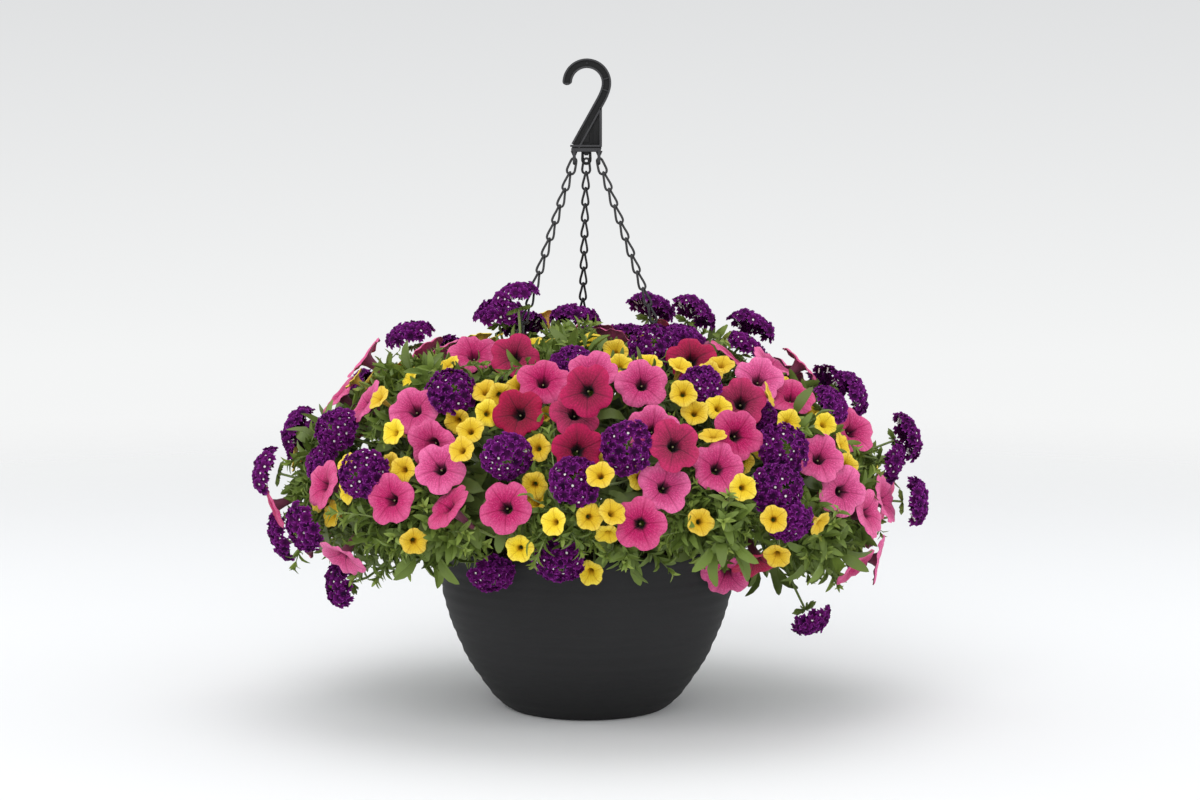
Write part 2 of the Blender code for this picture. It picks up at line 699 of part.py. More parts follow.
def flower(kind, base, face_centre, facing):
    """A stalk with its bloom, as a limb."""
    start = middle_of(base)
    side = base[0] - start
    if kind == "verbena":
        return verbena(base, face_centre, facing)
    small = kind == "calibrachoa"
    foot = face_centre - facing * (CALIBRACHOA_DEPTH if small else PETUNIA_DEPTH)
    bend = ((foot - start).normalized() + facing).normalized()
    calyx = circle(foot, bend, side, [STALK_RADIUS * 1.5] * 3)
    if small:
        rim = circle(face_centre, facing, side, [CALIBRACHOA_RADIUS] * 5)
        return limb(base, [calyx, rim], face_centre - facing * CALIBRACHOA_THROAT)
    tube = circle(face_centre - facing * PETUNIA_DEPTH * 0.42, facing, side, [PETUNIA_TUBE] * 5)
    rim = circle(face_centre, facing, side, [PETUNIA_RADIUS, PETUNIA_NOTCH] * 5, (-0.002, 0.001))
    return limb(base, [calyx, tube, rim], face_centre - facing * PETUNIA_THROAT)


def ball_shape():
    """The corners and faces of a ball of twenty triangles, one face square to +Z at the top."""
    bm = bmesh.new()
    bmesh.ops.create_icosphere(bm, subdivisions=1, radius=1.0)
    top = max(bm.faces, key=lambda face: round(face.normal.z, 4))
    turn = top.normal.rotation_difference(Vector((0, 0, 1)))
    corners = [turn @ vertex.co for vertex in bm.verts]
    faces = [tuple(vertex.index for vertex in face.verts) for face in bm.faces]
    bm.free()
    return corners, faces


BALL_CORNERS, BALL_FACES = ball_shape()
BALL_FLAT = 0.75


def ball(centre, radius, towards, side):
    """The ball's corners, and its faces sorted from the one that looks towards a direction."""
    axis = towards.normalized()
    first = square_to(axis, side)
    second = axis.cross(first)
    corners = [centre + (first * c.x + second * c.y + axis * c.z) * radius for c in BALL_CORNERS]
    faces = sorted(BALL_FACES, key=lambda face: -sum(BALL_CORNERS[i].z for i in face))
    return corners, faces


def joined_rings(lower, upper, points):
    """The triangles between two rings of three, each corner joined to the nearest by direction."""
    low_middle, high_middle = middle_of([points[i] for i in lower]), middle_of([points[i] for i in upper])

    def fit(k):
        pairs = [(points[lower[i]], points[upper[(i + k) % 3]]) for i in range(3)]
        return sum((low - low_middle).dot(high - high_middle) for low, high in pairs)

    best = max(range(3), key=fit)
    return list(band(lower, [upper[(i + best) % 3] for i in range(3)]))


def verbena(base, centre, facing):
    """A stalk with a verbena head: a core whose upper faces stand out as flared florets."""
    corners, faces = ball(centre, VERBENA_CORE, facing, base[0] - middle_of(base))
    points = list(base) + corners
    faces = [tuple(i + 3 for i in face) for face in faces]
    bottom = faces[-1]
    made = joined_rings((0, 1, 2), tuple(reversed(bottom)), points)
    for number, face in enumerate(faces[:-1]):
        if number >= FLORETS:
            made.append(face)
            continue
        out = (middle_of([points[i] for i in face]) - centre).normalized()
        petals = circle(centre + out * VERBENA_RADIUS, out, points[face[0]] - centre, [FLORET_RADIUS] * 3)
        fresh = tuple(range(len(points), len(points) + 3))
        points += petals
        made += list(band(face, fresh))
        made.append(fresh)
    return points, made


def leaf(base, tip, up):
    """A leaf with a keel under it, narrow at its root and its tip, as a limb.

    The keel lines up with the lowest corner of the root, so the thin blade doesn't twist and cross itself.
    """
    start = middle_of(base)
    along = (tip - start).normalized()
    keel = min(range(3), key=lambda i: square_to(along, base[i] - start).dot(up))
    above = -square_to(along, base[keel] - start)
    right = along.cross(above)
    length = (tip - start).length
    half = length * LEAF_WIDTH_SHARE / 2
    middle = start + (tip - start) * LEAF_MIDDLE + above * length * LEAF_ARCH
    ring = [middle - above * LEAF_RIB, middle - right * half, middle + right * half]
    return limb(base, [ring[-keel:] + ring[:-keel]], tip)


class Plant:
    """A stem with forks, grown from the soil, whose limbs are kept clear of everything on the ground."""

    def __init__(self, name, kind, ground):
        self.name, self.kind, self.ground = name, kind, ground
        self.bm = bmesh.new()
        self.hubs = []

    def build(self, corners, shape):
        """Adds a limb's points and triangles to the mesh, from the corners that it grows from."""
        points, faces = shape
        verts = list(corners) + [self.bm.verts.new(point) for point in points[len(corners):]]
        for face in faces:
            self.bm.faces.new([verts[i] for i in face])
        self.ground.add(triangles_of(points, faces))
        return verts

    def trimmed(self, shape):
        """A limb's triangles for testing: cut short near the hub, where others start, and swollen."""
        points, faces = list(shape[0]), shape[1]
        for i in range(3):
            away = points[i + 3] - points[i]
            share = min(0.9, (HUB_CLEAR * BALL_FLAT - HUB_RADIUS) / away.length)
            points[i] = points[i] + away * share
        return triangles_of(swollen(points, faces, GROWN), faces)

    def first_hub(self, centre, hole):
        """A fork at centre on a stem that rises from a hole in the soil. False if no way is free."""
        foot = place(hole[0], hole[1], SOIL_HEIGHT - STEM_HOLE_DEPTH + 0.001)
        rise = max(centre.z, place(0, 0, RIM_HEIGHT).z) + STEM_ARCH
        for spread in (0.0, 0.2, -0.2, 0.4, -0.4, 0.6):
            arch = Vector((
                hole[0] + (centre.x - hole[0]) * (0.55 + spread * 0.4),
                hole[1] + (centre.y - hole[1]) * (0.55 - spread * 0.4),
                rise - 0.5 * STEM_ARCH * spread,
            ))
            if centre.xy.length < 0.12:
                arch = (foot + centre) / 2 + Vector((spread, -spread, 0)) * 0.05
            if self.try_stem(centre, foot, arch):
                return True
        return False

    def try_stem(self, centre, foot, arch):
        """Builds a fork and its curved stem down to foot, if they are clear."""
        start_way = (arch - centre).normalized()
        corners, faces = ball(centre, HUB_RADIUS, start_way, HUB_SIDE)
        keep_clear, keep_faces = ball(centre, HUB_CLEAR, start_way, HUB_SIDE)
        base = [corners[i] for i in faces[0]]
        above_foot = place(foot.x, foot.y, SOIL_CROWN + 0.003)
        stops = []
        for t in (0.33, 0.66):
            stops.append(centre * (1 - t) ** 2 + arch * 2 * t * (1 - t) + above_foot * t ** 2)
        stops += [above_foot, foot]
        rings, side, before = [], base[0] - middle_of(base), middle_of(base)
        for k, stop in enumerate(stops):
            after = stops[k + 1] if k + 1 < len(stops) else stop + (stop - stops[k - 1])
            along = (stop - before).normalized() + (after - stop).normalized()
            rings.append(circle(stop, along.normalized(), side, [STEM_RADIUS] * 3))
            side, before = rings[-1][0] - stop, stop
        shape = limb(base, rings)
        if not self.ground.free(self.trimmed(shape), self.name):
            return False
        if not self.ground.free(triangles_of(keep_clear, keep_faces), self.name):
            return False
        self.add_hub(centre, corners, faces)
        hub = self.hubs[-1]
        self.build(self.take_face(hub, 0), shape)
        self.ground.add(triangles_of(keep_clear, keep_faces), self.name)
        self.side = rings[-1][0] - stops[-1]
        return True

    def add_hub(self, centre, corners, faces):
        """Adds a fork's corners. Its faces are built at the end, except those that limbs have taken."""
        verts = [self.bm.verts.new(corner) for corner in corners]
        spots = [{"verts": [verts[i] for i in face], "way": None} for face in faces]
        for spot in spots:
            spot["middle"] = middle_of([vertex.co for vertex in spot["verts"]])
            spot["out"] = (spot["middle"] - centre).normalized()
        self.hubs.append({"centre": centre, "spots": spots})

    def take_face(self, hub, number):
        spot = hub["spots"][number]
        spot["way"] = spot["out"]
        return spot["verts"]

    def diverges(self, hub, spot, way):
        """True if a limb leaving a face this way spreads from the limbs that its neighbours carry."""
        for other in hub["spots"]:
            if other is spot or other["way"] is None:
                continue
            apart = other["middle"] - spot["middle"]
            near = apart.length < HUB_RADIUS * NEAR_SHARE
            if near and (other["way"] - way).dot(apart.normalized()) < LEAST_SPREAD:
                return False
        return True

    def try_limb(self, hub, aim, make):
        """Grows a limb from the free face that looks most towards aim. make(base) gives its shape."""
        way = (aim - hub["centre"]).normalized()
        spots = self.free_faces(hub, way)
        return any(self.try_limb_at(hub, spot, way, make) for spot in spots)

    def free_faces(self, hub, way):
        """The free faces of a fork that look most along a way, best first."""
        spots = [spot for spot in hub["spots"] if spot["way"] is None and spot["out"].dot(way) > STEEPEST]
        spots.sort(key=lambda spot: -spot["out"].dot(way))
        return spots[:5]

    def try_limb_at(self, hub, spot, way, make):
        """Grows a limb from one face of a fork, if it is clear."""
        if not self.diverges(hub, spot, way):
            return False
        shape = make([vertex.co.copy() for vertex in spot["verts"]])
        if not self.ground.free(self.trimmed(shape), self.name):
            return False
        spot["way"] = way
        self.build(spot["verts"], shape)
        return True

    def try_fork(self, centre):
        """Grows a side shoot from the first fork to another fork at centre, if the way is clear."""
        hub = self.hubs[0]
        way = (centre - hub["centre"]).normalized()
        keep_clear, keep_faces = ball(centre, HUB_CLEAR, -way, HUB_SIDE)
        if not self.ground.free(triangles_of(keep_clear, keep_faces), self.name):
            return False
        if min((centre - other["centre"]).length for other in self.hubs) < HUB_CLEAR * 2:
            return False
        corners, faces = ball(centre, HUB_RADIUS, -way, HUB_SIDE)
        for spot in self.free_faces(hub, way):
            base = [vertex.co.copy() for vertex in spot["verts"]]
            points = base + [corners[i] for i in faces[0]]
            shape = (points, joined_rings((0, 1, 2), (5, 4, 3), points))
            if not self.diverges(hub, spot, way):
                continue
            if not self.ground.free(self.trimmed(shape), self.name):
                continue
            spot["way"] = way
            self.add_hub(centre, corners, faces)
            ends = spot["verts"] + self.take_face(self.hubs[-1], 0)
            for face in shape[1]:
                self.bm.faces.new([ends[i] for i in face])
            self.ground.add(triangles_of(*shape))
            self.ground.add(triangles_of(keep_clear, keep_faces), self.name)
            return True
        return False

    def finish(self):
        """The plant as one closed object."""
        for hub in self.hubs:
            for spot in hub["spots"]:
                if spot["way"] is None:
                    self.bm.faces.new(spot["verts"])
        return finished(self.name, self.bm, self.kind)


def stem_holes(count):
    """Places for the stems in the soil, spread evenly in a spiral."""
    golden = math.pi * (3 - math.sqrt(5))
    radii = [STEM_HOLES_RADIUS * math.sqrt((i + 0.5) / count) for i in range(count)]
    return [(radius * math.cos(golden * i), radius * math.sin(golden * i)) for i, radius in enumerate(radii)]


def tuft_spots(faces, blooms, rng):
    """Where the tufts of leaves stand: spread over the mound, each where the blooms leave most room."""
    areas = [(b - a).cross(c - a).length for a, b, c in faces]
    petals = [bloom[1] for bloom in blooms if bloom[0] != "calibrachoa"]
    spots = []
    while len(spots) < TUFTS:
        best, best_room = None, -1.0
        for _ in range(TUFT_TRIES):
            a, b, c = rng.choices(faces, areas)[0]
            u, v = sorted((rng.random(), rng.random()))
            point = a * u + b * (v - u) + c * (1 - v)
            normal = (b - a).cross(c - a).normalized()
            room = min([(point - spot[0]).length for spot in spots] + [TUFT_APART])
            room += PETAL_ROOM * min((point - petal).length for petal in petals)
            if room > best_room:
                best, best_room = (point, normal), room
        spots.append(best)
    return spots


def clear_of_rim(point):
    """The point, moved out and up over the rim if it is low."""
    lowest = place(0, 0, RIM_HEIGHT + FORK_OVER_RIM).z
    if point.z > lowest:
        return point
    out = Vector((point.x, point.y, 0)).normalized() * max(point.xy.length, RIM_RADIUS + FORK_OVER_RIM)
    return Vector((out.x, out.y, lowest))


def plant_stems(ground, groups, holes):
    """A plant for each group of (name, kind, wanted fork), on the free hole that suits it best."""
    plants = []
    free = list(holes)
    for name, kind, fork in sorted(groups, key=lambda group: -group[2].xy.length):
        plant = Plant(name, kind, ground)
        free.sort(key=lambda hole: (Vector(hole) - fork.xy * 0.5).length)
        for attempt in range(STEM_TRIES):
            hole = free[attempt % min(4, len(free))]
            shift = Vector([math.sin(attempt * 2.4 + k) for k in range(3)]) * 0.004 * (attempt // 4)
            if plant.first_hub(fork + shift, hole):
                plant.hole = hole
                free.remove(hole)
                break
        else:
            print("no way for", name)
            continue
        plants.append(plant)
    return plants


def try_bloom(plants, kind, centre, facing, turn, rng):
    """Grows a bloom at centre from the first of the plants that has a clear way to it."""
    depth = {"verbena": VERBENA_CORE, "calibrachoa": CALIBRACHOA_DEPTH}.get(kind, PETUNIA_DEPTH)
    for plant in plants:
        hub = plant.hubs[0]
        look = facing + Vector([rng.uniform(-1, 1) for _ in range(3)]) * FACING_WANDER * turn
        stalk = (centre - hub["centre"]).normalized()
        look = (look.normalized() + stalk * (0.10 + 0.12 * turn)).normalized()
        foot = centre - look * depth
        reach = foot - hub["centre"]
        if reach.length < SHORTEST_STALK or look.dot(reach.normalized()) < -0.1:
            continue
        if plant.try_limb(hub, foot, lambda base: flower(kind, base, centre, look)):
            return True
    return False


def place_bloom(plants, kind, point, facing, way, rng):
    """Grows a bloom from a plant of its kind nearby, moved along its line or aside until it is clear."""
    nearest = sorted(plants, key=lambda plant: (plant.hubs[0]["centre"] - point).length)
    asides = [Vector((0, 0, 0))]
    for reach in BLOOM_ASIDES:
        asides += circle(Vector((0, 0, 0)), way, Vector((1, 0, 0)), [reach] * 6)
    for aside in asides:
        for shift in BLOOM_SHIFTS:
            for turn in range(4):
                if try_bloom(nearest[:1 + turn], kind, point + aside + way * shift, facing, turn, rng):
                    return True
    return False


def grow_leaves(plant, hub, outward, rng):
    """A tuft of leaves round a fork, those that look out of the mound, as long as their room allows."""
    made = 0
    for spot in hub["spots"]:
        if made >= TUFT_LEAVES:
            break
        if spot["way"] is not None or spot["out"].dot(outward) < -0.25:
            continue
        for length in LEAF_LENGTHS:
            lean = Vector([rng.uniform(-1, 1) for _ in range(3)]) * 0.15
            way = (spot["out"] + outward * 0.15 + lean).normalized()
            tip = hub["centre"] + way * (HUB_RADIUS + length)
            up = outward + Vector((0, 0, LEAF_LIFT))
            if plant.try_limb_at(hub, spot, way, lambda base: leaf(base, tip, up)):
                made += 1
                break
    return made


def main():
    for old in list(bpy.data.objects):
        bpy.data.objects.remove(old)
    rng = random.Random(SEED)
    ground = Ground()
    for piece in (make_pot(), make_hook(), *[make_chain(i) for i in range(3)]):
        ground.add_object(piece)

    tree, faces = mound_tree()
    blooms = wanted_blooms(tree, faces, rng)
    heart = place(*HEART)
    groups = []
    for kind, count in SPRAYS.items():
        places = [bloom[1] - bloom[2] * PETUNIA_DEPTH * 0.5 for bloom in blooms if bloom[0] == kind]
        for k, members in enumerate(grouped(places, count)):
            middle = middle_of([places[i] for i in members])
            groups.append((f"{kind}_spray_{k + 1}", kind, clear_of_rim(heart.lerp(middle, HUB_SHARE))))
    spots = tuft_spots(faces, blooms, rng)
    tufts = grouped([spot[0] for spot in spots], LEAFY_STEMS)
    chosen = {}
    for k, members in enumerate(tufts):
        members.sort(key=lambda i: (spots[i][0] - heart).length)
        point, normal = spots[members[0]]
        chosen[f"leafy_stem_{k + 1}"] = members
        groups.append((f"leafy_stem_{k + 1}", "leafy_stem", clear_of_rim(point - normal * TUFT_INSET)))

    plants = plant_stems(ground, groups, stem_holes(len(groups)))
    for plant in plants:
        if plant.kind == "leafy_stem":
            for i in chosen[plant.name][1:]:
                plant.try_fork(spots[i][0] - spots[i][1] * TUFT_INSET)
    wide, low, high = STEM_RADIUS + STEM_HOLE_GAP, SOIL_HEIGHT - STEM_HOLE_DEPTH, RIM_HEIGHT + 0.028
    holes = [
        prism(f"hole_{i}", plant.hole, wide, low, high, 3, plant.side) for i, plant in enumerate(plants)
    ]
    soil = make_soil(holes)
    ground.add_object(soil)

    placed = 0
    for kind, point, facing, way in sorted(blooms, key=lambda bloom: bloom[0] == "calibrachoa"):
        family = [plant for plant in plants if plant.kind == kind]
        placed += place_bloom(family, kind, point, facing, way, rng)
    leaves = 0
    for plant in plants:
        if plant.kind == "leafy_stem":
            for hub in plant.hubs:
                near = tree.find_nearest(hub["centre"])
                leaves += grow_leaves(plant, hub, near[1], rng)
    for plant in plants:
        plant.finish()
    print(f"{placed} of {len(blooms)} blooms and {leaves} leaves on {len(plants)} plants")


main()
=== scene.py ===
# %% [markdown]
# # A flowering hanging basket, piece by piece
#
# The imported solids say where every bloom, stem, leaf and link of this basket is, and how big it is. This
# lesson keeps those places and gives each piece the shape and finish that the eye looks for: petals with
# veins, leaves with ribs, twisted chain wire and a grainy plastic pot. It starts by loading the solids as a
# fixed frame and noting their box. An operator acts on all that is selected, so the selection is let go.

# %% Load the frame
import math
import random

import bmesh
import bpy
import numpy as np
from mathutils import Matrix, Vector


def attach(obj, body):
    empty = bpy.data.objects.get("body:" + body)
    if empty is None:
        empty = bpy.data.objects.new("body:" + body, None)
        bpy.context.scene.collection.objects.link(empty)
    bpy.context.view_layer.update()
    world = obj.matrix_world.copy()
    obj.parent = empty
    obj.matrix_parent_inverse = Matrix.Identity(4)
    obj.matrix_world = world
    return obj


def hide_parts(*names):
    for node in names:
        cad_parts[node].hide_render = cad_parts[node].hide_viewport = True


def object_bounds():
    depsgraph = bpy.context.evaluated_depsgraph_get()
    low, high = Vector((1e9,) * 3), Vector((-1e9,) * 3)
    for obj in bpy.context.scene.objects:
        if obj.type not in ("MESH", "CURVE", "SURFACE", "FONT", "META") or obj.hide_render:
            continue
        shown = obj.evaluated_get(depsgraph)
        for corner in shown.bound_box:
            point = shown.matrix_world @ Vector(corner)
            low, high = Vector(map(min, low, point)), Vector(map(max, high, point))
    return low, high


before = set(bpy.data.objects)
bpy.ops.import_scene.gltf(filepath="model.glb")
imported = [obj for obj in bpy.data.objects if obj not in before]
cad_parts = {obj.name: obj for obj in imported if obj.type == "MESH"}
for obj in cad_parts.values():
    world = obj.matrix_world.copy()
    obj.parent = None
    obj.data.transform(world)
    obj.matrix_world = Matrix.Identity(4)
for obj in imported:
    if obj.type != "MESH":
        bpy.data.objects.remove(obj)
cad_box = [[float(value) for value in corner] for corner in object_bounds()]
bpy.ops.object.select_all(action="DESELECT")
bpy.context.view_layer.objects.active = None
BASE = cad_box[0][2]
print("the base stands at", round(BASE, 3), "and the box is", cad_box)

# %% [markdown]
# ## Camera, floor and light
#
# The photograph looks slightly down at the basket from about 2.8 metres with a long lens, so the mound
# hardly changes size from front to back. The floor is a wide pale disc that fades out with distance, which
# leaves no horizon from any side. Broad lamps above, in front and at both sides make the soft light of a
# studio: they leave a wide, faint shadow beside the pot and thin bright edges on its dark sides.

# %% Camera
CAMERA_PLACE = (0.013, -2.785, -0.037)
CAMERA_TILT = math.radians(84)
LENS = 84
bpy.ops.object.camera_add(location=CAMERA_PLACE, rotation=(CAMERA_TILT, 0, 0))
camera = bpy.context.object
camera.data.lens = LENS
bpy.context.scene.camera = camera
bpy.context.scene.view_settings.view_transform = "Standard"
print("the camera looks from", CAMERA_PLACE)


# %% Colours and nodes
def colour(red, green, blue):
    """A colour given as it looks on a screen, 0 to 255, in the linear values that shaders use."""
    shares = [value / 255 for value in (red, green, blue)]
    linear = [share / 12.92 if share <= 0.04045 else ((share + 0.055) / 1.055) ** 2.4 for share in shares]
    return (*linear, 1.0)


def put(tree, kind, links=None, **settings):
    """A new node. links gives each input, by name or number, a value or another node's output."""
    node = tree.nodes.new(kind)
    for name, value in settings.items():
        setattr(node, name, value)
    for place, value in (links or {}).items():
        if isinstance(value, bpy.types.NodeSocket):
            tree.links.new(value, node.inputs[place])
        else:
            node.inputs[place].default_value = value
    return node


def calc(tree, operation, *values):
    """The output of a Math node."""
    return put(tree, "ShaderNodeMath", dict(enumerate(values)), operation=operation).outputs[0]


def mixed(tree, share, first, second, way="MIX"):
    """The output of a node that mixes two colours."""
    links = {0: share, 6: first, 7: second}
    return put(tree, "ShaderNodeMix", links, data_type="RGBA", blend_type=way).outputs[2]


def ramp(tree, value, *stops):
    """The output of a Color Ramp, whose stops are (place, colour)."""
    node = put(tree, "ShaderNodeValToRGB", {0: value})
    elements = node.color_ramp.elements
    while len(elements) < len(stops):
        elements.new(0.5)
    for element, (place, shade) in zip(elements, stops):
        element.position = place
        element.color = shade
    return node.outputs[0]


def noise(tree, where, scale, detail=2.0, w=None):
    """The output of a Noise Texture on some coordinates, shifted by w where it is given."""
    if w is None:
        links = {"Vector": where, "Scale": scale, "Detail": detail}
        return put(tree, "ShaderNodeTexNoise", links).outputs[0]
    links = {"Vector": where, "W": w, "Scale": scale, "Detail": detail}
    return put(tree, "ShaderNodeTexNoise", links, noise_dimensions="4D").outputs[0]


def bumped(tree, height, distance, strength=0.6):
    """The normal that a Bump node makes of a height."""
    links = {"Height": height, "Distance": distance, "Strength": strength}
    return put(tree, "ShaderNodeBump", links).outputs[0]


def finish_of(name, mean, **values):
    """A new material with its tree and its shader. mean is its usual colour, values are the shader's own."""
    material = bpy.data.materials.new(name)
    material.use_nodes = True
    material.diffuse_color = mean
    shader = material.node_tree.nodes["Principled BSDF"]
    shader.inputs["Base Color"].default_value = mean
    for key, value in values.items():
        shader.inputs[key.replace("_", " ").title().replace("Ior", "IOR")].default_value = value
    return material, material.node_tree, shader


def give(tree, shader, **sockets):
    """Links outputs to the shader's inputs."""
    for key, socket in sockets.items():
        tree.links.new(socket, shader.inputs[key.replace("_", " ").title()])


print("colours, nodes and finishes have their helpers")

# %% Floor, world and lamps
FLOOR_RADIUS = 9.0
FADE_FROM, FADE_TO = 1.0, 2.8
FLOOR_GAP = 0.0004
SKY_LOW, SKY_HIGH = -0.20, 0.05
LAMPS_AIM = (0, 0, -0.35)
LAMPS = {
    "key": {"place": (-0.7, -2.3, 1.9), "size": 1.9, "power": 25},
    "top": {"place": (0.0, 0.1, 2.4), "size": 2.4, "power": 20},
    "front": {"place": (0.0, -3.3, 0.6), "size": 1.6, "power": 15},
    "left": {"place": (-2.4, 0.3, 0.1), "size": 1.6, "power": 13},
    "right": {"place": (2.4, 0.1, 0.2), "size": 1.6, "power": 14},
}


def make_floor():
    """A wide pale floor that fades into the backdrop's light."""
    place = (0, 0, BASE - FLOOR_GAP)
    bpy.ops.mesh.primitive_circle_add(vertices=96, radius=FLOOR_RADIUS, fill_type="NGON", location=place)
    floor = bpy.context.object
    floor.name = "studio_floor"
    pale = colour(236, 237, 238)
    material, tree, shader = finish_of("studio_floor", pale, roughness=0.9, specular_ior_level=0.1)
    where = put(tree, "ShaderNodeTexCoord").outputs["Object"]
    out = put(tree, "ShaderNodeVectorMath", {0: where}, operation="LENGTH").outputs["Value"]
    links = {0: out, 1: FADE_FROM, 2: FADE_TO}
    gone = put(tree, "ShaderNodeMapRange", links, interpolation_type="SMOOTHSTEP").outputs[0]
    clear = put(tree, "ShaderNodeBsdfTransparent").outputs[0]
    both = put(tree, "ShaderNodeMixShader", {0: gone, 1: shader.outputs[0], 2: clear}).outputs[0]
    tree.links.new(both, tree.nodes["Material Output"].inputs[0])
    floor.data.materials.append(material)


def make_lamps():
    """The lamps, each turned towards the middle of the mound, and an even pale surround."""
    aim = Vector(LAMPS_AIM)
    for name, lamp in LAMPS.items():
        place = Vector(lamp["place"])
        turn = (aim - place).to_track_quat("-Z", "Y").to_euler()
        bpy.ops.object.light_add(type="AREA", location=place, rotation=turn)
        light = bpy.context.object
        light.name = name + "_lamp"
        light.data.shape = "DISK"
        light.data.size = lamp["size"]
        light.data.energy = lamp["power"]
    world = bpy.data.worlds.new("studio")
    world.use_nodes = True
    tree = world.node_tree
    way = put(tree, "ShaderNodeTexCoord").outputs["Generated"]
    rise = put(tree, "ShaderNodeSeparateXYZ", {0: way}).outputs[2]
    share = put(tree, "ShaderNodeMapRange", {0: rise, 1: SKY_LOW, 2: SKY_HIGH}).outputs[0]
    low, middle, high = colour(248, 248, 248), colour(244, 245, 245), colour(222, 223, 224)
    shade = ramp(tree, share, (0.0, low), (0.45, middle), (1.0, high))
    tree.links.new(shade, tree.nodes["Background"].inputs[0])
    bpy.context.scene.world = world


make_floor()
make_lamps()
print(len(LAMPS), "lamps light the floor")

# %% [markdown]
# ## Petals and leaves as finishes
#
# A petal's pattern follows the petal: veins leave the throat and fork towards the edge. Each bloom is laid
# flat into its UV map, seen from the front, so the shader can find the distance and the turn from the
# middle and draw the pattern from those two numbers, with no seam. An attribute called tint differs from
# copy to copy, and makes one bloom lighter, bluer or more worn than the next.

# %% Petal finishes
FIELD = 0.060


def petal_coordinates(tree):
    """Distance from the bloom's middle in millimetres, the turn round it, its UV place and its own tint."""
    uv = put(tree, "ShaderNodeUVMap", uv_map="UVMap").outputs[0]
    flat = put(tree, "ShaderNodeVectorMath", {0: uv, 1: (0.5, 0.5, 0.0)}, operation="SUBTRACT").outputs[0]
    parts = put(tree, "ShaderNodeSeparateXYZ", {0: flat})
    out = put(tree, "ShaderNodeVectorMath", {0: flat}, operation="LENGTH").outputs["Value"]
    distance = calc(tree, "MULTIPLY", out, FIELD * 1000)
    turn = calc(tree, "ARCTAN2", parts.outputs[1], parts.outputs[0])
    tint = put(tree, "ShaderNodeAttribute", attribute_name="tint").outputs["Fac"]
    return distance, turn, flat, tint


def rays(tree, turn, count, sharpness, sway):
    """Thin rays round a bloom: 1 on each ray and 0 between them. sway bends them."""
    bent = calc(tree, "MULTIPLY_ADD", turn, count / 2, sway)
    along = calc(tree, "ABSOLUTE", calc(tree, "COSINE", bent))
    return calc(tree, "POWER", along, sharpness)


def between(tree, value, low, high):
    """0 below low, 1 above high and smooth between them."""
    links = {0: value, 1: low, 2: high}
    return put(tree, "ShaderNodeMapRange", links, interpolation_type="SMOOTHSTEP").outputs[0]


def cells(tree, where, scale, w):
    """A net of thin lines round cells of uneven size: 1 on a line and 0 off it."""
    links = {"Vector": where, "W": w, "Scale": scale}
    settings = {"voronoi_dimensions": "4D", "feature": "DISTANCE_TO_EDGE"}
    edges = put(tree, "ShaderNodeTexVoronoi", links, **settings).outputs["Distance"]
    return between(tree, edges, 0.09, 0.01)


def petunia_finish(name, edge, main, vein, throat, throat_reach):
    """The face of a petunia: a dark throat, five strong veins and a net of fine ones, paler to the edge."""
    material, tree, shader = finish_of(name, main, roughness=0.66, specular_ior_level=0.26, sheen_weight=0.06)
    distance, turn, flat, tint = petal_coordinates(tree)
    own = calc(tree, "MULTIPLY", tint, 31.0)
    wander = noise(tree, flat, 20.0, 3.0, own)
    sway = calc(tree, "MULTIPLY", calc(tree, "SUBTRACT", wander, 0.5), 0.9)
    strong = rays(tree, turn, 5, 95.0, calc(tree, "MULTIPLY", sway, 0.3))
    mottle = noise(tree, flat, 62.0, 4.0, own)
    broad = rays(tree, turn, 5, 10.0, calc(tree, "MULTIPLY", sway, 0.6))
    fine = rays(tree, turn, 34, 4.0, calc(tree, "MULTIPLY", sway, 5.0))
    net = cells(tree, flat, 26.0, own)
    fading = between(tree, distance, 25.0, 7.0)
    lines = calc(tree, "MAXIMUM", calc(tree, "MULTIPLY", strong, 0.95), calc(tree, "MULTIPLY", fine, 0.54))
    lines = calc(tree, "MAXIMUM", lines, calc(tree, "MULTIPLY", net, 0.52))
    lines = calc(tree, "MULTIPLY", lines, calc(tree, "MULTIPLY_ADD", fading, 0.6, 0.4))
    lines = calc(tree, "MAXIMUM", lines, calc(tree, "MULTIPLY", calc(tree, "MULTIPLY", broad, fading), 0.32))
    paler = calc(tree, "ADD", between(tree, distance, 9.0, 25.0), calc(tree, "MULTIPLY", sway, 1.5))
    base = mixed(tree, calc(tree, "MAXIMUM", calc(tree, "MINIMUM", paler, 1.0), 0.0), main, edge)
    base = mixed(tree, calc(tree, "MULTIPLY", between(tree, mottle, 0.52, 0.70), 0.55), base, edge)
    base = mixed(tree, calc(tree, "MULTIPLY", between(tree, mottle, 0.50, 0.32), 0.40), base, vein)
    shade = mixed(tree, lines, base, vein)
    reach = calc(tree, "MULTIPLY_ADD", broad, 1.7, calc(tree, "MULTIPLY_ADD", sway, 3.0, throat_reach))
    inside = between(tree, distance, calc(tree, "ADD", reach, 2.8), calc(tree, "SUBTRACT", reach, 2.0))
    shade = mixed(tree, inside, shade, throat)
    aged = put(tree, "ShaderNodeHueSaturation", {
        "Hue": calc(tree, "MULTIPLY_ADD", tint, -0.014, 0.507),
        "Saturation": calc(tree, "MULTIPLY_ADD", tint, -0.10, 1.05),
        "Value": calc(tree, "MULTIPLY_ADD", tint, 0.24, 0.82),
        "Color": shade,
    }).outputs[0]
    height = calc(tree, "SUBTRACT", wander, calc(tree, "MULTIPLY", lines, 0.9))
    give(tree, shader, base_color=aged, normal=bumped(tree, height, 0.0009, 0.7))
    return material


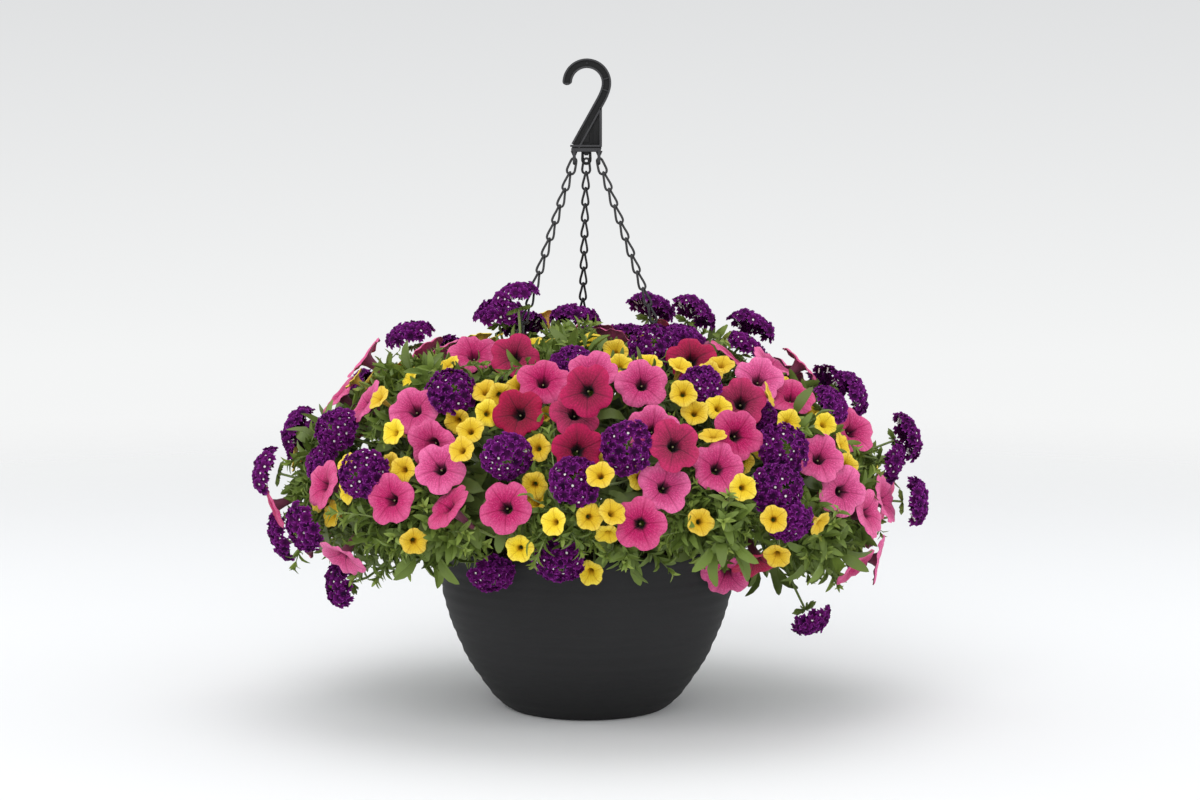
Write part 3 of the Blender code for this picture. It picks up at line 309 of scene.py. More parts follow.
def calibrachoa_finish():
    """The face of a calibrachoa: clear yellow with painted amber shade along its five folds, fine amber veins
    and a small olive throat.
    """
    yellow, amber = colour(242, 208, 44), colour(206, 150, 22)
    material, tree, shader = finish_of("calibrachoa_face", yellow, roughness=0.66, specular_ior_level=0.26)
    distance, turn, flat, tint = petal_coordinates(tree)
    wander = noise(tree, flat, 30.0, 3.0, calc(tree, "MULTIPLY", tint, 23.0))
    sway = calc(tree, "MULTIPLY", calc(tree, "SUBTRACT", wander, 0.5), 0.8)
    fine = rays(tree, turn, 25, 4.0, calc(tree, "MULTIPLY", sway, 3.0))
    # Painted shade: amber along the five folds; the fine rays mixed in are the petals' own veins.
    folds = calc(tree, "MAXIMUM", rays(tree, turn, 5, 70.0, sway), calc(tree, "MULTIPLY", fine, 0.35))
    shade = mixed(tree, between(tree, distance, 7.0, 13.0), yellow, colour(250, 224, 84))
    shade = mixed(tree, calc(tree, "MULTIPLY", folds, 0.5), shade, amber)
    shade = mixed(tree, calc(tree, "MULTIPLY", between(tree, distance, 4.2, 1.4), 0.8), shade, amber)
    cross = calc(tree, "MULTIPLY", rays(tree, turn, 5, 6.0, 0.0), between(tree, distance, 3.4, 1.2))
    heart = calc(tree, "MAXIMUM", calc(tree, "MULTIPLY", cross, 0.5), between(tree, distance, 1.5, 0.7))
    mottle = noise(tree, flat, 75.0, 4.0, calc(tree, "MULTIPLY", tint, 23.0))
    worn = calc(tree, "MULTIPLY", between(tree, mottle, 0.50, 0.30), 0.5)
    shade = mixed(tree, worn, shade, colour(214, 166, 22))
    shade = mixed(tree, heart, shade, colour(96, 66, 14))
    aged = put(tree, "ShaderNodeHueSaturation", {
        "Hue": calc(tree, "MULTIPLY_ADD", tint, 0.018, 0.490),
        "Value": calc(tree, "MULTIPLY_ADD", tint, 0.20, 0.82),
        "Color": shade,
    }).outputs[0]
    height = calc(tree, "SUBTRACT", wander, folds)
    give(tree, shader, base_color=aged, normal=bumped(tree, height, 0.0007, 0.7))
    return material


def verbena_finish():
    """A verbena floret: purple velvet, darker in its folds as painted shade mixed with random velvet mottle,
    with a painted highlight along its rim and now and then a small white eye.
    """
    purple, dark = colour(112, 16, 116), colour(36, 3, 42)
    material, tree, shader = finish_of("verbena_petal", purple, roughness=0.8, specular_ior_level=0.12)
    distance, turn, flat, tint = petal_coordinates(tree)
    velvet = noise(tree, flat, 60.0, 3.0, calc(tree, "MULTIPLY", tint, 17.0))
    shade = mixed(tree, between(tree, distance, 6.0, 1.8), purple, dark)
    # Painted shade: darker along the petals' folds, and at random where the velvet noise is high.
    folds = rays(tree, turn, 5, 3.0, calc(tree, "MULTIPLY", velvet, 0.8))
    shade = mixed(tree, calc(tree, "MULTIPLY", calc(tree, "MAXIMUM", velvet, folds), 0.50), shade, dark)
    # Painted highlight: paler purple along the petal rims.
    rim = between(tree, calc(tree, "MULTIPLY_ADD", velvet, 3.0, distance), 7.0, 9.0)
    shade = mixed(tree, calc(tree, "MULTIPLY", rim, 0.7), shade, colour(162, 66, 172))
    shade = mixed(tree, calc(tree, "MULTIPLY", tint, 0.30), shade, colour(120, 16, 112))
    eye = calc(tree, "MULTIPLY", between(tree, distance, 1.35, 1.0), between(tree, tint, 0.68, 0.70))
    shade = mixed(tree, eye, shade, colour(240, 238, 232))
    give(tree, shader, base_color=shade, normal=bumped(tree, velvet, 0.0006, 0.7))
    return material


def outside_finish(name, petal, tube):
    """The back of a funnel: duller petals, with the tube's lines running down to a darker stem end."""
    material, tree, shader = finish_of(name, petal, roughness=0.6, specular_ior_level=0.3, sheen_weight=0.15)
    distance, turn, flat, tint = petal_coordinates(tree)
    lines = rays(tree, turn, 15, 5.0, calc(tree, "MULTIPLY", noise(tree, flat, 20.0), 0.6))
    shade = mixed(tree, between(tree, distance, 13.0, 4.0), petal, tube)
    shade = mixed(tree, calc(tree, "MULTIPLY", lines, 0.35), shade, tube)
    give(tree, shader, base_color=shade, normal=bumped(tree, lines, 0.0003, 0.4))
    return material


FINISHES = {
    "petunia_face": petunia_finish(
        "petunia_face", colour(234, 104, 160), colour(214, 52, 124), colour(146, 10, 72),
        colour(52, 8, 38), 4.4
    ),
    "petunia_deep_face": petunia_finish(
        "petunia_deep_face", colour(196, 14, 88), colour(158, 5, 64), colour(84, 1, 36),
        colour(36, 3, 20), 5.0
    ),
    "calibrachoa_face": calibrachoa_finish(),
    "verbena_petal": verbena_finish(),
    "petunia_outside": outside_finish("petunia_outside", colour(190, 72, 124), colour(120, 56, 80)),
    "petunia_deep_outside": outside_finish("petunia_deep_outside", colour(144, 16, 68), colour(90, 28, 50)),
    "calibrachoa_outside": outside_finish("calibrachoa_outside", colour(240, 196, 60), colour(206, 160, 60)),
}
print("petal finishes:", ", ".join(FINISHES))

# %% [markdown]
# ## Greenery as finishes
#
# A leaf's UV map runs across the blade from 0 to 1 and along it from 0 to 1, and the underside is moved two
# steps aside, so that one shader can make it paler. A pale rib runs up the middle with side veins slanting
# off it, and a painted highlight runs along the margin. The tint attribute chooses between young light tips
# and leaves deep in the mound, which it paints dark as shade.

# %% Green finishes
def leaf_finish():
    """A leaf: green by its tint, dark as painted shade deep in the mound, with a painted highlight along its
    margin, a pale rib, slanting side veins and a paler underside.
    """
    middle = colour(92, 122, 54)
    material, tree, shader = finish_of("leaf", middle, roughness=0.5, specular_ior_level=0.28)
    uv = put(tree, "ShaderNodeUVMap", uv_map="UVMap").outputs[0]
    parts = put(tree, "ShaderNodeSeparateXYZ", {0: uv})
    below = calc(tree, "GREATER_THAN", parts.outputs[0], 1.5)
    across = calc(tree, "SUBTRACT", parts.outputs[0], calc(tree, "MULTIPLY", below, 2.0))
    aside = calc(tree, "ABSOLUTE", calc(tree, "SUBTRACT", across, 0.5))
    tint = put(tree, "ShaderNodeAttribute", attribute_name="tint").outputs["Fac"]
    where = put(tree, "ShaderNodeTexCoord").outputs["Object"]
    mottle = noise(tree, where, 160.0, 2.0)
    slant = calc(tree, "MULTIPLY_ADD", aside, -11.0, calc(tree, "MULTIPLY", parts.outputs[1], 30.0))
    side_veins = calc(tree, "POWER", calc(tree, "ABSOLUTE", calc(tree, "COSINE", slant)), 14.0)
    rib = between(tree, aside, 0.085, 0.020)
    lines = calc(tree, "MAXIMUM", calc(tree, "MULTIPLY", rib, 0.80), calc(tree, "MULTIPLY", side_veins, 0.32))
    # The dark end of the ramp is painted shade for leaves deep in the mound; the light end is young growth at
    # the tips.
    greens = ramp(
        tree, tint, (0.0, colour(34, 48, 16)), (0.35, colour(64, 87, 28)), (0.70, colour(104, 128, 46)),
        (1.0, colour(158, 175, 80)),
    )
    shade = mixed(tree, calc(tree, "MULTIPLY", mottle, 0.45), greens, colour(46, 70, 20))
    # Painted highlight: a paler green along the blade's margin.
    painted_margin_highlight = calc(tree, "MULTIPLY", between(tree, aside, 0.36, 0.48), 0.30)
    shade = mixed(tree, painted_margin_highlight, shade, colour(150, 168, 84))
    shade = mixed(tree, lines, shade, colour(170, 188, 108))
    shade = mixed(tree, calc(tree, "MULTIPLY", below, 0.30), shade, colour(132, 150, 108))
    height = calc(tree, "SUBTRACT", mottle, calc(tree, "MULTIPLY", lines, 1.2))
    give(tree, shader, base_color=shade, normal=bumped(tree, height, 0.0005, 0.6))
    return material


def stalk_finish():
    """A stalk: green, browner where its tint is low, with a fine down on it."""
    material, tree, shader = finish_of("stalk", colour(96, 118, 62), roughness=0.6, sheen_weight=0.15)
    tint = put(tree, "ShaderNodeAttribute", attribute_name="tint").outputs["Fac"]
    where = put(tree, "ShaderNodeTexCoord").outputs["Object"]
    streaks = noise(tree, where, 420.0, 2.0)
    brown, green, light = colour(78, 70, 40), colour(112, 132, 62), colour(158, 178, 98)
    shade = ramp(tree, tint, (0.0, brown), (0.5, green), (1.0, light))
    shade = mixed(tree, calc(tree, "MULTIPLY", streaks, 0.5), shade, colour(74, 88, 46))
    give(tree, shader, base_color=shade, normal=bumped(tree, streaks, 0.0003, 0.5))
    return material


def stigma_finish():
    """The pale knob deep in a petunia's throat."""
    material, tree, shader = finish_of("stigma", colour(140, 136, 98), roughness=0.5)
    where = put(tree, "ShaderNodeTexCoord").outputs["Object"]
    grains = noise(tree, where, 900.0, 1.0)
    give(tree, shader, base_color=mixed(tree, grains, colour(158, 154, 112), colour(104, 106, 66)))
    return material


def bud_finish(name, skin, tip):
    """A closed bud: twisted folds, deeper in colour between them."""
    material, tree, shader = finish_of(name, skin, roughness=0.55, sheen_weight=0.1)
    uv = put(tree, "ShaderNodeUVMap", uv_map="UVMap").outputs[0]
    parts = put(tree, "ShaderNodeSeparateXYZ", {0: uv})
    across = calc(tree, "MULTIPLY", parts.outputs[0], math.tau * 2.5)
    twist = calc(tree, "MULTIPLY_ADD", parts.outputs[1], 4.0, across)
    folds = calc(tree, "POWER", calc(tree, "ABSOLUTE", calc(tree, "COSINE", twist)), 3.0)
    shade = mixed(tree, between(tree, parts.outputs[1], 0.2, 0.9), skin, tip)
    shade = mixed(tree, calc(tree, "MULTIPLY", folds, 0.3), shade, skin)
    give(tree, shader, base_color=shade, normal=bumped(tree, folds, 0.0004, 0.5))
    return material


FINISHES["leaf"] = leaf_finish()
FINISHES["stalk"] = stalk_finish()
FINISHES["stigma"] = stigma_finish()
FINISHES["pink_bud"] = bud_finish("pink_bud", colour(150, 60, 100), colour(206, 80, 140))
FINISHES["yellow_bud"] = bud_finish("yellow_bud", colour(150, 150, 60), colour(238, 196, 60))
print("green finishes are ready, so there are", len(FINISHES))

# %% [markdown]
# ## One flower, one leaf, one bud
#
# What repeats is modelled once. A funnel flower starts as a circle at the foot of its tube, and its edge is
# extruded and scaled ring by ring up the tube and out to the rim. The lobes and ruffles follow a formula in
# the turn round the flower, because five alike petals are easier to write than to pull by hand. Solidify
# then gives the petal a back, with the duller outside finish.

# %% Tools for modelling
def opened(vertices, place=(0, 0, 0)):
    """A new circle at a place, in edit mode and all selected."""
    bpy.ops.mesh.primitive_circle_add(vertices=vertices, radius=1.0, location=place)
    bpy.ops.object.mode_set(mode="EDIT")
    bpy.ops.mesh.select_all(action="SELECT")
    return bpy.context.object


def extruded(rise, across, deep, centre):
    """Extrudes the selected edge upwards and scales it about a centre."""
    bpy.ops.mesh.extrude_edges_move(TRANSFORM_OT_translate={"value": (0, 0, rise)})
    bpy.ops.transform.resize(value=(across, deep, 1), center_override=centre)


def chosen(piece, rule):
    """In edit mode, selects only the corners whose place the rule picks."""
    bm = bmesh.from_edit_mesh(piece.data)
    for vertex in bm.verts:
        vertex.select = bool(rule(vertex.co))
    bm.select_flush_mode()
    bmesh.update_edit_mesh(piece.data)


def shaped(piece, rule):
    """Moves each corner of a mesh to where the rule sends it."""
    for vertex in piece.data.vertices:
        vertex.co = rule(vertex.co)


def laid_flat(piece, field):
    """A UV map that sees the piece from above, field metres wide."""
    layer = piece.data.uv_layers.get("UVMap") or piece.data.uv_layers.new(name="UVMap")
    for loop in piece.data.loops:
        place = piece.data.vertices[loop.vertex_index].co
        layer.data[loop.index].uv = (0.5 + place.x / field, 0.5 + place.y / field)


MODELS = {}


def keep_model(name, piece):
    """Keeps a model's mesh as arrays, ready to be copied, and removes its object."""
    mesh = piece.data
    count = len(mesh.vertices)
    points = np.empty(count * 3)
    mesh.vertices.foreach_get("co", points)
    corners = np.empty(len(mesh.loops), np.int64)
    mesh.loops.foreach_get("vertex_index", corners)
    sides = np.empty(len(mesh.polygons), np.int64)
    mesh.polygons.foreach_get("loop_total", sides)
    slots = np.empty(len(mesh.polygons), np.int64)
    mesh.polygons.foreach_get("material_index", slots)
    uv = np.zeros(len(mesh.loops) * 2)
    if mesh.uv_layers:
        mesh.uv_layers[0].data.foreach_get("uv", uv)
    order = list(FINISHES.values())
    looks = np.array([order.index(material) for material in mesh.materials])
    MODELS[name] = {
        "points": points.reshape(-1, 3), "corners": corners, "sides": sides, "looks": looks[slots],
        "uv": uv.reshape(-1, 2), "tint": np.zeros(count),
    }
    bpy.data.objects.remove(piece)
    print(f"{name}: {len(sides)} faces")


# %% Funnel flowers
PETUNIA_RINGS = (
    (0.0018, -0.0360), (0.0028, -0.0240), (0.0040, -0.0140), (0.0052, -0.0075), (0.0070, -0.0034),
    (0.0108, -0.0013), (0.0158, -0.0002), (0.0204, 0.0004), (0.0234, 0.0000), (0.0252, -0.0010),
)
CALIBRACHOA_RINGS = (
    (0.0012, -0.0170), (0.0020, -0.0095), (0.0030, -0.0048), (0.0050, -0.0019), (0.0088, -0.0004),
    (0.0120, -0.0001), (0.0133, -0.0008),
)
PETAL_WALL = 0.00034


def funnel(name, sides, rings, notch, ruffle, waves, phase, cup, face, outside):
    """A flower of five joined petals, from the foot of its tube out to its rim."""
    radius, lift = rings[0]
    piece = opened(sides)
    bpy.ops.transform.resize(value=(radius, radius, 1), center_override=(0, 0, 0))
    bpy.ops.transform.translate(value=(0, 0, lift))
    for wider, higher in rings[1:]:
        extruded(higher - lift, wider / radius, wider / radius, (0, 0, higher))
        radius, lift = wider, higher
    bpy.ops.mesh.select_all(action="SELECT")
    bpy.ops.mesh.normals_make_consistent(inside=False)
    bpy.ops.object.mode_set(mode="OBJECT")
    if piece.data.polygons[-1].normal.z < 0:
        piece.data.flip_normals()
    rim, throat = rings[-1][0], rings[len(rings) // 2][0]

    def petals(place):
        """Draws the rim in between the five lobes and lifts it in waves."""
        out, turn = math.hypot(place.x, place.y), math.atan2(place.y, place.x)
        share = max(0.0, (out - throat) / (rim - throat))
        gap = (0.5 - 0.5 * math.cos(5 * turn)) ** 5
        fold = (0.5 + 0.5 * math.cos(5 * turn)) ** 12
        out *= 1 - notch * share ** 2 * gap - 0.035 * share * (0.5 - 0.5 * math.cos(5 * turn))
        out *= 1 + share * (0.030 * math.sin(2 * turn + phase) + 0.022 * math.sin(3 * turn + 2 * phase))
        wave = math.sin(waves * turn + phase) * (0.6 + 0.4 * math.sin(2 * turn + 3 * phase))
        rise = rim * share ** 2 * (ruffle * wave + 0.05 * math.cos(2 * turn + phase))
        rise += rim * share * cup - rim * 0.022 * fold * share * (1.4 - share)
        rise -= rim * share * 0.055 * gap
        return Vector((out * math.cos(turn), out * math.sin(turn), place.z + rise))

    shaped(piece, petals)
    laid_flat(piece, FIELD)
    for finish in (face, outside):
        piece.data.materials.append(FINISHES[finish])
    wall = piece.modifiers.new("petal wall", "SOLIDIFY")
    wall.thickness = PETAL_WALL
    wall.offset = -1.0
    wall.material_offset = 1
    bpy.ops.object.modifier_apply(modifier=wall.name)
    keep_model(name, piece)


for number, (ruffle, phase, cup) in enumerate(((0.050, 0.0, 0.00), (0.065, 1.3, 0.05), (0.045, 2.7, -0.05))):
    for kind in ("petunia", "petunia_deep"):
        funnel(
            f"{kind}_{number}", 45, PETUNIA_RINGS, 0.14, ruffle, 11, phase, cup,
            f"{kind}_face", f"{kind}_outside",
        )
    funnel(
        f"calibrachoa_{number}", 30, CALIBRACHOA_RINGS, 0.12, ruffle * 1.3, 8, phase, cup + 0.03,
        "calibrachoa_face", "calibrachoa_outside",
    )


# %% [markdown]
# A leaf is a flat, four-sided blade with a rib above and below: a circle of four corners, extruded from the
# stalk to the tip and drawn in to a point at each end. The same way makes the closed buds, with more sides.
# The blade is folded a little along its rib and bent over its length. A verbena's leaf has teeth, so its
# width goes in and out from ring to ring. Thousands of leaves show, so each has only a few dozen faces.

# %% Leaves, buds and the stigma
def drawn_out(sides, stations, ends, finish):
    """A closed blade or bud along Z, through (height, half width, half depth), pointed at both ends."""
    height, wide, deep = stations[0]
    piece = opened(sides)
    bpy.ops.transform.resize(value=(wide, deep, 1), center_override=(0, 0, 0))
    bpy.ops.transform.translate(value=(0, 0, height))
    for higher, wider, deeper in stations[1:]:
        extruded(higher - height, wider / wide, deeper / deep, (0, 0, higher))
        height, wide, deep = higher, wider, deeper
    for end, start in ((ends[1], stations[-1][0]), (ends[0], stations[0][0])):
        chosen(piece, lambda place: abs(place.z - start) < 1e-5)
        bpy.ops.mesh.extrude_edges_move(TRANSFORM_OT_translate={"value": (0, 0, end - start)})
        bpy.ops.mesh.merge(type="CENTER")
    bpy.ops.mesh.select_all(action="SELECT")
    bpy.ops.mesh.normals_make_consistent(inside=False)
    bpy.ops.object.mode_set(mode="OBJECT")
    piece.data.materials.append(FINISHES[finish])
    return piece


def unrolled(piece):
    """A UV map for a blade: across it and along it, with the underside two steps aside."""
    layer = piece.data.uv_layers.new(name="UVMap")
    for face in piece.data.polygons:
        aside = 2.0 if face.normal.y < 0 else 0.0
        for loop in face.loop_indices:
            place = piece.data.vertices[piece.data.loops[loop].vertex_index].co
            level = [corner.co for corner in piece.data.vertices if abs(corner.co.z - place.z) < 1e-5]
            width = max(abs(corner.x) for corner in level)
            share = 0.5 if width < 1e-6 else 0.5 + 0.5 * place.x / width
            layer.data[loop].uv = (share + aside, place.z)


LEAF_THICK = 0.012
SLIVERS = {
    "small_narrow": ((0.22, 0.76), (0.52, 1.00), (0.82, 0.58)),
    "small_broad": ((0.18, 0.70), (0.50, 1.00), (0.82, 0.70)),
}
BLADES = {
    "narrow": ((0.08, 0.26), (0.30, 0.84), (0.55, 1.00), (0.80, 0.74), (0.94, 0.34)),
    "broad": ((0.10, 0.22), (0.28, 0.82), (0.52, 1.00), (0.78, 0.84), (0.94, 0.44)),
    "toothed": (
        (0.12, 0.24), (0.28, 0.84), (0.36, 0.72), (0.50, 1.00), (0.58, 0.80), (0.72, 0.82), (0.88, 0.44),
    ),
}


def blade(name, outline, arch, fold, sweep):
    """A leaf one unit long and one unit wide, folded along its rib, arched, and swept to one side."""
    stations = [(height, wide / 2, LEAF_THICK * (0.5 + wide)) for height, wide in outline]
    piece = drawn_out(4, stations, (0.0, 1.0), "leaf")
    unrolled(piece)

    def bent(place):
        """Arches the blade along its length and folds it along its rib."""
        rise = arch * math.sin(math.pi * min(1.0, place.z * 1.1)) - 0.16 * place.z ** 3
        return Vector((place.x + sweep * place.z ** 2, place.y + rise + fold * abs(place.x), place.z))

    shaped(piece, bent)
    keep_model(name, piece)


for number, (arch, fold, sweep) in enumerate(((0.10, 0.16, 0.0), (0.16, 0.08, 0.10), (0.05, 0.24, -0.12))):
    for kind, outline in {**BLADES, **SLIVERS}.items():
        blade(f"{kind}_leaf_{number}", outline, arch, fold, sweep)

BUD = ((0.10, 0.10, 0.10), (0.42, 0.085, 0.085), (0.70, 0.16, 0.16), (0.88, 0.13, 0.13))
for finish in ("pink_bud", "yellow_bud"):
    bud = drawn_out(6, BUD, (0.0, 1.0), finish)
    unrolled(bud)
    keep_model(finish, bud)
cup = drawn_out(4, ((0.25, 0.10, 0.10), (0.75, 0.15, 0.15)), (0.0, 1.0), "leaf")
unrolled(cup)
keep_model("green_bud", cup)

bpy.ops.mesh.primitive_ico_sphere_add(subdivisions=1, radius=0.0011, location=(0, 0, 0))
bpy.ops.object.mode_set(mode="EDIT")
bpy.ops.transform.resize(value=(1, 1, 0.6), center_override=(0, 0, 0))
bpy.ops.transform.translate(value=(0, 0, -0.0090))
bpy.ops.object.mode_set(mode="OBJECT")
bpy.context.object.data.materials.append(FINISHES["stigma"])
keep_model("stigma", bpy.context.object)

# %% [markdown]
# A verbena floret repeats more than a thousand times, so every face counts. Its front runs from a pinched
# throat to twenty corners, four for each notched petal, and its back runs from those corners into a thin
# tube. It is laced together face by face from rings of corners whose numbers differ, which a plain extrusion
# can't do.

# %% A verbena floret
FLORET_RADIUS = 0.0080


def laced(lower, upper):
    """The triangles between two rings of corners, whose numbers may differ."""
    a, b = 0, 0
    while a < len(lower) or b < len(upper):
        if b == len(upper) or (a < len(lower) and (a + 1) * len(upper) <= (b + 1) * len(lower)):
            yield lower[a % len(lower)], lower[(a + 1) % len(lower)], upper[b % len(upper)]
            a += 1
        else:
            yield lower[a % len(lower)], upper[(b + 1) % len(upper)], upper[b % len(upper)]
            b += 1


def make_floret():
    """A flat floret of five notched petals on a thin tube."""
    shares = (0.58, 0.96, 0.84, 1.00)
    turns = (-36, -20, 2, 21)
    lifts = (0.0009, -0.0010, 0.0010, -0.0004)
    bm = bmesh.new()

    def ring(radius, lift, count):
        """Corners evenly round a circle."""
        angles = [math.tau * (k - 0.5) / count for k in range(count)]
        return [bm.verts.new((radius * math.cos(a), radius * math.sin(a), lift)) for a in angles]

    petals = []
    for petal in range(5):
        for share, turn, lift in zip(shares, turns, lifts):
            a, out = math.radians(turn + 72 * petal), FLORET_RADIUS * share
            petals.append(bm.verts.new((out * math.cos(a), out * math.sin(a), lift)))
    throat = ring(0.0016, -0.0006, 5)
    neck = ring(0.0010, -0.0024, 4)
    foot = ring(0.0008, -0.0085, 4)
    heart = bm.verts.new((0, 0, -0.0018))
    for face in laced(petals, throat):
        bm.faces.new(face)
    for k in range(5):
        bm.faces.new((throat[k], throat[(k + 1) % 5], heart))
    for face in list(laced(neck, petals)) + list(laced(foot, neck)):
        bm.faces.new(face)
    bm.faces.new(reversed(foot))
    bmesh.ops.recalc_face_normals(bm, faces=bm.faces)
    mesh = bpy.data.meshes.new("floret")
    bm.to_mesh(mesh)
    bm.free()
    mesh.materials.append(FINISHES["verbena_petal"])
    piece = bpy.data.objects.new("floret", mesh)
    bpy.context.collection.objects.link(piece)
    laid_flat(piece, FIELD)
    keep_model("floret", piece)


make_floret()

# %% [markdown]
# ## Copies
#
# A mound of flowers holds thousands of copies. Duplicating objects one at a time and joining them would
# take minutes, so the models are kept as arrays: a copy is the model's points times a matrix, and a whole
# spray is many such arrays end to end, written into one mesh in one go. Stalks are tubes along a path.

# %% Copies and tubes
PART_KEYS = ("points", "corners", "sides", "looks", "uv", "tint")


def joined(parts):
    """Many parts as one: their arrays end to end, with each part's corners counted on from the last."""
    shifts = np.cumsum([0] + [len(part["points"]) for part in parts[:-1]])
    whole = {key: np.concatenate([part[key] for part in parts]) for key in PART_KEYS if key != "corners"}
    whole["corners"] = np.concatenate([part["corners"] + shift for part, shift in zip(parts, shifts)])
    return whole


def copies(name, matrices, tints):
    """Copies of one model, one for each matrix, each with its own tint."""
    model = MODELS[name]
    turns = np.array([[list(row) for row in matrix] for matrix in matrices])
    count, size = len(matrices), len(model["points"])
    points = np.einsum("kij,nj->kni", turns[:, :3, :3], model["points"]) + turns[:, None, :3, 3]
    return {
        "points": points.reshape(-1, 3),
        "corners": (model["corners"][None, :] + size * np.arange(count)[:, None]).ravel(),
        "sides": np.tile(model["sides"], count),
        "looks": np.tile(model["looks"], count),
        "uv": np.tile(model["uv"], (count, 1)),
        "tint": (model["tint"][None, :] + np.array(tints)[:, None]).ravel(),
    }


def frame_at(place, along, above, scale=(1, 1, 1)):
    """The matrix that puts a model at a place, with its Z along a direction and its Y near another."""
    z = along.normalized()
    y = above - z * above.dot(z)
    y = y.normalized() if y.length > 1e-6 else z.orthogonal().normalized()
    x = y.cross(z)
    columns = [x * scale[0], y * scale[1], z * scale[2], place]
    return [[*(column[row] for column in columns)] for row in range(3)] + [[0, 0, 0, 1]]


def tube(path, radii, sides, tint, finish="stalk"):
    """A round stalk along a path, thicker or thinner by its radii, closed at both ends."""
    rings, across = [], None
    for k, point in enumerate(path):
        along = (path[min(k + 1, len(path) - 1)] - path[max(k - 1, 0)]).normalized()
        across = along.orthogonal() if across is None else across - along * across.dot(along)
        across.normalize()
        other = along.cross(across)
        for i in range(sides):
            turn = math.tau * i / sides
            rings.append(point + (across * math.cos(turn) + other * math.sin(turn)) * radii[k])
    corners, counts = [], []
    for k in range(len(path) - 1):
        for i in range(sides):
            a, b = k * sides + i, k * sides + (i + 1) % sides
            corners += [a, b, b + sides, a + sides]
            counts.append(4)
    last = (len(path) - 1) * sides
    corners += [*reversed(range(sides)), *range(last, last + sides)]
    counts += [sides, sides]
    return {
        "points": np.array([list(point) for point in rings]), "corners": np.array(corners),
        "sides": np.array(counts), "looks": np.full(len(counts), list(FINISHES).index(finish)),
        "uv": np.zeros((len(corners), 2)), "tint": np.full(len(rings), tint),
    }


def written(name, part):
    """A mesh object made of a part's arrays, with only the finishes that it uses."""
    mesh = bpy.data.meshes.new(name)
    mesh.vertices.add(len(part["points"]))
    mesh.vertices.foreach_set("co", part["points"].astype(np.float32).ravel())
    mesh.loops.add(len(part["corners"]))
    mesh.loops.foreach_set("vertex_index", part["corners"].astype(np.int32))
    mesh.polygons.add(len(part["sides"]))
    starts = np.concatenate([[0], np.cumsum(part["sides"])[:-1]]).astype(np.int32)
    mesh.polygons.foreach_set("loop_start", starts)
    used, slots = np.unique(part["looks"], return_inverse=True)
    mesh.polygons.foreach_set("material_index", slots.astype(np.int32).ravel())
    order = list(FINISHES.values())
    for number in used:
        mesh.materials.append(order[number])
    mesh.uv_layers.new(name="UVMap").data.foreach_set("uv", part["uv"].astype(np.float32).ravel())
    mesh.attributes.new("tint", "FLOAT", "POINT").data.foreach_set("value", part["tint"].astype(np.float32))
    mesh.update(calc_edges=True)
    mesh.shade_smooth()
    mesh.set_sharp_from_angle(angle=math.radians(55))
    piece = bpy.data.objects.new(name, mesh)
    bpy.context.collection.objects.link(piece)
    return piece


def bezier(start, middle, end, steps):
    """Points on a curve from start to end that leans towards middle."""
    shares = [k / steps for k in range(steps + 1)]
    return [start * (1 - t) ** 2 + middle * (2 * t * (1 - t)) + end * t ** 2 for t in shares]


print("copies, tubes and meshes have their helpers")

# %% [markdown]
# ## Reading the plants
#
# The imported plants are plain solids, but they say all that is needed: a funnel's rim, a verbena's caps, a
# leaf's tip and a fork's ball each have edges of their own length and number. Their corners are welded and
# walked ring by ring, so that every bloom, leaf, fork and stem is found where the solid has it.

# %% Reading the plants
WELD = 1e-5
FORK_EDGE, FORK_SLACK, FORK_CORNERS = 0.004837, 3e-5, 12
CAP_EDGE, CAP_SLACK, CAPS_REACH = 0.0194, 1.5e-4, 0.0245
PETUNIA_DEPTH, CALIBRACHOA_DEPTH, VERBENA_CORE, VERBENA_REACH = 0.036, 0.017, 0.0115, 0.020
CALIBRACHOA_SLANT = (0.0140, 0.0147)


def welded(node):
    """A node's corners, the corners each is joined to, and its triangles."""
    bm = bmesh.new()
    bm.from_mesh(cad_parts[node].data)
    bmesh.ops.remove_doubles(bm, verts=bm.verts, dist=WELD)
    bm.verts.index_update()
    points = [vertex.co.copy() for vertex in bm.verts]
    near = [[edge.other_vert(vertex).index for edge in vertex.link_edges] for vertex in bm.verts]
    triangles = [tuple(vertex.index for vertex in face.verts) for face in bm.faces]
    bm.free()
    return points, near, triangles


def rings_below(near, start, count):
    """The rings of corners that lie one, two, three and more edges from the corners of start."""
    seen, ring, rings = set(start), start, []
    for _ in range(count):
        ring = sorted({other for corner in ring for other in near[corner]} - seen)
        seen.update(ring)
        rings.append(ring)
    return rings


def middle(points, ring):
    """The middle of a ring of corners."""
    return sum((points[i] for i in ring), Vector()) / len(ring)


def find_forks(points, near):
    """The fork balls: groups of twelve corners joined by edges of the ball's own length."""
    owner, forks = {}, []
    for first in range(len(points)):
        if first in owner:
            continue
        group, queue = [first], [first]
        owner[first] = len(forks)
        while queue:
            corner = queue.pop()
            for other in near[corner]:
                edge = (points[other] - points[corner]).length
                if other not in owner and abs(edge - FORK_EDGE) < FORK_SLACK:
                    owner[other] = len(forks)
                    group.append(other)
                    queue.append(other)
        forks.append(group)
    return [group for group in forks if len(group) == FORK_CORNERS]


def find_funnels(kind, points, near):
    """The petunias or calibrachoas of a plant as (place of the face, facing, start of the stalk)."""
    blooms = []
    for tip, others in enumerate(near):
        reach = [(points[i] - points[tip]).length for i in others]
        if kind == "calibrachoa":
            if len(others) != 5 or min(reach) < CALIBRACHOA_SLANT[0] or max(reach) > CALIBRACHOA_SLANT[1]:
                continue
            rim, _, root = rings_below(near, [tip], 3)
            lift = 0.0
        else:
            if len(others) != 10 or min(reach) < 0.020:
                continue
            rim, _, _, root = rings_below(near, [tip], 4)
            lift = 0.0005
        facing = (middle(points, rim) - points[tip]).normalized()
        blooms.append((middle(points, rim) + facing * lift, facing, middle(points, root)))
    return blooms


